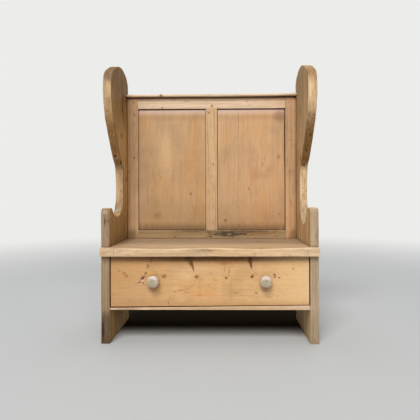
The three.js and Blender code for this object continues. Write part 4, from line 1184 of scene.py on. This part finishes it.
def knob_profile():
    """(radius, distance forward) from the spigot's end inside the drawer, over neck and rim, to the face."""
    back = [(KNOB_NECK + (KNOB_RIM - KNOB_NECK) * share, KNOB_LENGTH * out) for share, out in
            ((0, 0.18), (0.2, 0.27), (0.68, 0.34), (0.95, 0.44), (1, 0.56))]
    dome = [(KNOB_RIM * share, KNOB_LENGTH * out) for share, out in
            ((0.985, 0.7), (0.9, 0.83), (0.72, 0.925), (0.4, 0.985))]
    curve = smooth_curve(np.array([(KNOB_BASE, 0.0), *back, *dome, (0.0, KNOB_LENGTH)]), 5)
    chamfer = 0.8 * MM
    spigot = [
        (0.0, -SPIGOT_LENGTH), (SPIGOT_RADIUS - chamfer, -SPIGOT_LENGTH),
        (SPIGOT_RADIUS, chamfer - SPIGOT_LENGTH), (SPIGOT_RADIUS, 0.0),
    ]
    return np.concatenate([spigot, curve])


def make_knobs():
    face_front = box_of("drawer_front")[0][1]
    for hand, seed in (("left", 3), ("right", 8)):
        low, high = box_of(f"{hand}_knob")
        centre = (low + high) / 2
        verts, quads, tris = turned(knob_profile(), 56, KNOB_OVAL, 0.006, seed)
        verts = verts * np.array([1, -1, 1]) + np.array([centre[0], face_front, centre[2]])
        surface, uneven = (verts, quads, tris), (0.25 * MM, 0.025, seed)
        material = knob_finish(f"{hand} knob", centre, seed)
        piece(f"{hand}_turned_knob", surface, uneven, "drawer", material, [f"{hand}_knob"])


def knob_finish(name, centre, seed):
    """Pale turned wood, greyed by hands: a greenish worn disc on the face, a painted highlight above, painted
    shade below, and dirt and painted shade in its hollows.
    """
    material = bpy.data.materials.new(name)
    shop = cleared(material)
    spot = shop.spot()
    local = shop.vector("SUBTRACT", spot, tuple(centre))
    rise = shop.math("DIVIDE", shop.axes(local)[2], KNOB_RIM)
    disc = shop.vector("SUBTRACT", local, (-0.003, 0.0, 0.001))
    disc = shop.vector("LENGTH", shop.vector("MULTIPLY", disc, (1.05, 0.0, 1.0)))
    uneven = shop.noise(shop.vector("ADD", spot, (seed, 0.0, 0.0)), 90.0, 3.0, 0.6)
    disc = shop.math("MULTIPLY_ADD", shop.math("SUBTRACT", uneven, 0.5), 0.012, disc)
    blotch = shop.noise(shop.vector("ADD", spot, (0.0, seed, 0.0)), 170.0, 4.0, 0.6)
    fine = shop.noise(shop.vector("MULTIPLY", local, (60.0, 500.0, 60.0)), 1.0, 3.0)
    colour = shop.mix(shop.fade(uneven, 0.35, 0.65), tone(211, 189, 165), tone(190, 162, 138))
    # A painted highlight on top and painted shade underneath.
    colour = shop.mix(shop.fade(rise, 0.15, 0.8, 0.0, 0.8), colour, tone(229, 212, 203))
    colour = shop.mix(shop.fade(rise, -0.35, -0.9, 0.0, 0.8), colour, tone(150, 116, 100))
    colour = shop.mix(shop.fade(disc, 0.017, 0.0135, 0.0, 0.85), colour, tone(168, 162, 130))
    colour = shop.mix(shop.fade(blotch, 0.5, 0.66, 0.0, 0.5), colour, tone(118, 102, 78))
    colour = shop.mix(shop.fade(fine, 0.45, 0.7, 0.0, 0.3), colour, tone(138, 110, 86))
    # Darker in the hollows, by ambient occlusion: dirt and painted shade.
    corner = shop.group(SURROUNDINGS)["Corner"]
    colour = shop.mix(shop.math("MULTIPLY", corner, 0.7), colour, tone(84, 60, 42))
    shop.show("ShaderNodeBsdfPrincipled", {
        "Base Color": colour,
        "Roughness": shop.math("MULTIPLY_ADD", uneven, 0.3, 0.35),
        "Normal": shop.bump(Height=fine, Strength=0.25, Distance=0.0008),
        "Specular IOR Level": 0.4,
    })
    return material


# The way in which each kind of nail's head looks.
NAIL_WAYS = {
    "left_seat_nail": (-1, 0, 0), "right_seat_nail": (1, 0, 0), "left_stile_nail": (0, 1, 0),
    "right_stile_nail": (0, 1, 0), "left_lower_back_nail": (0, 1, 0), "right_lower_back_nail": (0, 1, 0),
    "cap_nail": (0, 0, 1), "left_runner_nail": (1, 0, 0), "right_runner_nail": (-1, 0, 0),
    "left_stop_nail": (0, 0, 1), "right_stop_nail": (0, 0, 1), "drawer_floor_nail": (0, 0, -1),
}


def body_of(node):
    """The moving body that a solid belongs to."""
    bodies = frame["record"]["behaviour"]["bodies"]
    return next(body for body, members in bodies.items() if node in members)


def make_nails():
    """Each nail: a hammered, slightly domed head that stands 0.6 mm proud, and its shank."""
    rust = iron("forged iron")
    for number, name in enumerate(sorted(n for n in nodes if "nail" in n)):
        low, high = box_of(name)
        way = np.array(next(w for key, w in NAIL_WAYS.items() if name.startswith(key)), float)
        length = np.abs((high - low) @ way)
        head = (low + high) / 2 + way * length / 2
        profile = [
            (0, -0.0006), (0.0016, -0.00055), (0.0027, -0.0003), (0.0033, 0.0002), (0.0031, 0.0010),
            (0.0014, 0.0014), (0.0013, length - 0.006), (0.0003, length - 0.0012), (0, length - 0.001),
        ]
        verts, quads, tris = turned(profile, 12, 1.0, 0.05, 60 + number)
        turn = Vector((0, -1, 0)).rotation_difference(Vector(way)).to_matrix()
        verts = verts @ np.array(turn).T + head
        surface = (verts, quads[:, ::-1], tris[:, ::-1])
        piece(name + "_forged", surface, (), body_of(name), rust, [name])


def make_pegs():
    """Each peg: a slightly tapered round of split oak through the joint, its ends a shade proud."""
    oak = wood("peg wood", "YXZ", base=tone(176, 128, 84), pith=(0.0, 0.0), seed=20.0, ring=2 * MM)
    proud = 0.5 * MM
    for number, name in enumerate(sorted(n for n in nodes if n.startswith("peg_"))):
        low, high = box_of(name)
        centre, depth = (low + high) / 2, high[1] - low[1]
        profile = [
            (0, -proud), (0.0026, -proud), (0.0036, -proud * 0.6), (0.0039, 0.0004), (0.0037, depth - 0.0004),
            (0.0033, depth + proud * 0.5), (0, depth + proud),
        ]
        verts, quads, tris = turned(profile, 14, 1.0, 0.05, 90 + number)
        verts = verts + np.array([centre[0], low[1], centre[2]])
        surface = (verts, quads[:, ::-1], tris[:, ::-1])
        piece(name + "_riven", surface, (), "bench", oak, [name])


HIDDEN_RUNS = {
    "left_runner": "YZX", "right_runner": "YZX", "left_drawer_stop": "YZX", "right_drawer_stop": "YZX",
    "lower_back_bottom_board": "XZY", "lower_back_top_board": "XZY", "drawer_back": "XZY",
    "drawer_left_side": "YZX", "drawer_right_side": "YZX", "drawer_floor_left": "YXZ",
    "drawer_floor_middle": "YXZ", "drawer_floor_right": "YXZ",
}


def finish_hidden_boards():
    """Bare pine on the boards that the solids already shape: runners, stops, drawer and lower back."""
    for number, (name, run) in enumerate(HIDDEN_RUNS.items()):
        low, high = box_of(name)
        order = ["XYZ".index(way) for way in run]
        centre, size = ((low + high) / 2)[order], (high - low)[order]
        rng = np.random.default_rng(300 + number)
        pith = (centre[1] + float(rng.uniform(-0.5, 0.5)) * size[1], centre[2] + 0.06)
        knots = [
            (centre[0] + float(rng.uniform(-0.4, 0.4)) * size[0],
             centre[1] + float(rng.uniform(-0.35, 0.35)) * size[1], float(rng.uniform(0.005, 0.011)), 0.8)
            for _ in range(3 if size[0] > 0.3 else 1)
        ]
        node = nodes[name]
        node.data.materials.clear()
        node.data.materials.append(wood(
            name.replace("_", " ") + " pine", run, base=tone(206, 168, 122), pith=pith,
            seed=30 + number * 1.7, rough=0.68, knots=knots, worn=(0.3, tone(222, 194, 156)), relief=0.5,
        ))
        weld = node.modifiers.new("weld", "WELD")
        weld.merge_threshold = 1e-5
        soften = node.modifiers.new("soften", "BEVEL")
        soften.width = 0.8 * MM
        soften.segments = 2
        soften.limit_method = "ANGLE"
        soften.angle_limit = math.radians(40)
        soften.harden_normals = False


# Floor, light and camera
FLOOR_TONE, BACK_TONE = tone(187, 189, 189), tone(236, 236, 234)
WORLD_LIGHT = 0.22
LAMP_COLOUR = (1.0, 0.995, 0.98)


def seen_rays(shop):
    """1 for rays that show the background: straight ones, mirrored ones and those through glass."""
    rays = shop.node("ShaderNodeLightPath").outputs
    seen = shop.math("MAXIMUM", rays["Is Camera Ray"], rays["Is Glossy Ray"])
    return shop.math("MAXIMUM", seen, rays["Is Transmission Ray"])


def make_floor():
    """A flat round floor, which goes over into the pale background far off. It has painted shade where things
    stand close by, and a painted shadow, darkest, under and just behind the bench, which light hardly
    reaches."""
    radius, around = 14.0, 96
    angle = np.linspace(0, 2 * math.pi, around, endpoint=False)
    reach = np.array([0.5, 1.0, 2.0, 4.0, 8.0, radius])
    flat = np.outer(reach, 0 * angle)
    ring = np.stack([np.outer(reach, np.cos(angle)), np.outer(reach, np.sin(angle)), flat], -1)
    verts = np.concatenate([ring.reshape(-1, 3), [[0, 0, 0]]])
    quads = bands(len(reach), around)
    spot = np.arange(around)
    tris = np.column_stack([np.full(around, len(verts) - 1), spot, (spot + 1) % around])
    mesh = mesh_of("floor", verts, quads, tris)
    floor = bpy.data.objects.new("floor", mesh)
    bpy.context.scene.collection.objects.link(floor)
    material = bpy.data.materials.new("pale floor")
    shop = cleared(material)
    # Painted shade on the floor where things stand close by, from ambient occlusion.
    shade = shop.fade(shop.closeness(0.12, 16), 0.1, 0.6)
    colour = shop.mix(shade, tone(110, 106, 100), FLOOR_TONE)
    spot = shop.spot()
    x, y, _ = shop.axes(spot)
    # The painted shadow under the bench grows wider towards the back by this share of Y, less a start.
    widening, start = 0.3, 0.04
    under = shop.math("MULTIPLY", shop.fade(y, -0.05, 0.10), shop.fade(y, 0.62, 0.36))
    wider = shop.math("MAXIMUM", shop.math("MULTIPLY_ADD", y, widening, -start), 0.0)
    beside = shop.math("SUBTRACT", shop.math("ABSOLUTE", x), wider)
    under = shop.math("MULTIPLY", under, shop.fade(beside, 0.56, 0.46))
    # Painted shadow under and behind the bench.
    colour = shop.mix(under, colour, tone(42, 36, 28))
    grey = shop.node("ShaderNodeBsdfDiffuse", {"Color": colour}).outputs[0]
    glow = shop.node("ShaderNodeEmission", {"Color": BACK_TONE, "Strength": 1.0}).outputs[0]
    pale_from, pale_all = 1.6, 5.0
    far_off = shop.fade(shop.vector("LENGTH", spot), pale_from, pale_all)
    share = shop.math("MULTIPLY", far_off, seen_rays(shop))
    shop.show("ShaderNodeMixShader", {0: share, 1: grey, 2: glow})
    mesh.materials.append(material)


def make_world():
    """Soft light from all round, and a pale background for the rays that show it."""
    world = bpy.data.worlds.new("pale studio")
    bpy.context.scene.world = world
    shop = cleared(world)
    inputs = {"Color": (0.95, 0.97, 1.0, 1.0), "Strength": WORLD_LIGHT}
    soft = shop.node("ShaderNodeBackground", inputs).outputs[0]
    shown = shop.node("ShaderNodeBackground", {"Color": BACK_TONE, "Strength": 1.0}).outputs[0]
    shop.show("ShaderNodeMixShader", {0: seen_rays(shop), 1: soft, 2: shown}, "ShaderNodeOutputWorld")


def add_lamp(name, place, target, size, power):
    """A rectangular lamp of a size (wide, high) that stands at a place and shines at a target."""
    data = bpy.data.lights.new(name, "AREA")
    data.shape = "RECTANGLE"
    data.size, data.size_y = size
    data.energy = power
    data.color = LAMP_COLOUR
    lamp = bpy.data.objects.new(name, data)
    lamp.location = place
    way = Vector(target) - Vector(place)
    lamp.rotation_euler = way.to_track_quat("-Z", "Y").to_euler()
    bpy.context.scene.collection.objects.link(lamp)
    return lamp


def make_lamps():
    """A wide soft key from the upper left front, a broad weaker one beside it, one for the back that leaves
    the floor out, so that the bench throws no second shadow, and a faint one from above for the floor."""
    add_lamp("key", (-2.5, -8.3, 11.2), (0.0, 0.0, 0.4), (6.0, 3.6), 1130)
    add_lamp("front", (1.2, -11.2, 8.6), (0.0, 0.0, 0.4), (11.0, 3.0), 820)
    back = add_lamp("back", (3.0, 10.5, 6.5), (0.0, 0.0, 0.7), (7.0, 5.0), 700)
    above = add_lamp("above", (0.0, 2.5, 7.0), (0.0, 1.0, 0.0), (9.0, 9.0), 240)
    lit = bpy.data.collections.new("lit from behind")
    for thing in bpy.context.scene.objects:
        if thing.type == "MESH" and thing.name != "floor":
            lit.objects.link(thing)
    back.light_linking.receiver_collection = lit
    ground = bpy.data.collections.new("lit from above")
    ground.objects.link(bpy.data.objects["floor"])
    above.light_linking.receiver_collection = ground


def make_camera():
    """The camera stands a little right of the middle, just above the arms, and looks level."""
    focal_pixels, width = 405.93, 420
    centre_x, centre_y = 217.93, 192.88
    stand, turn, roll = (0.0697, -2.0118, 0.6862), 0.0164, -0.0033
    data = bpy.data.cameras.new("camera")
    data.sensor_width = 36.0
    data.lens = data.sensor_width * focal_pixels / width
    data.shift_x = (width / 2 - centre_x) / width
    data.shift_y = (centre_y - width / 2) / width
    camera = bpy.data.objects.new("camera", data)
    heading = Matrix.Rotation(turn, 4, "Z") @ Matrix.Rotation(math.pi / 2, 4, "X")
    camera.matrix_world = Matrix.Translation(stand) @ heading @ Matrix.Rotation(roll, 4, "Z")
    bpy.context.scene.collection.objects.link(camera)
    bpy.context.scene.camera = camera


make_camera()
make_world()
make_floor()
make_sides()
make_seat()
make_frame()
make_panels()
make_cap()
make_front_rail()
make_drawer_front()
make_knobs()
make_nails()
make_pegs()
finish_hidden_boards()
make_lamps()

bpy.context.scene.view_settings.view_transform = "Standard"
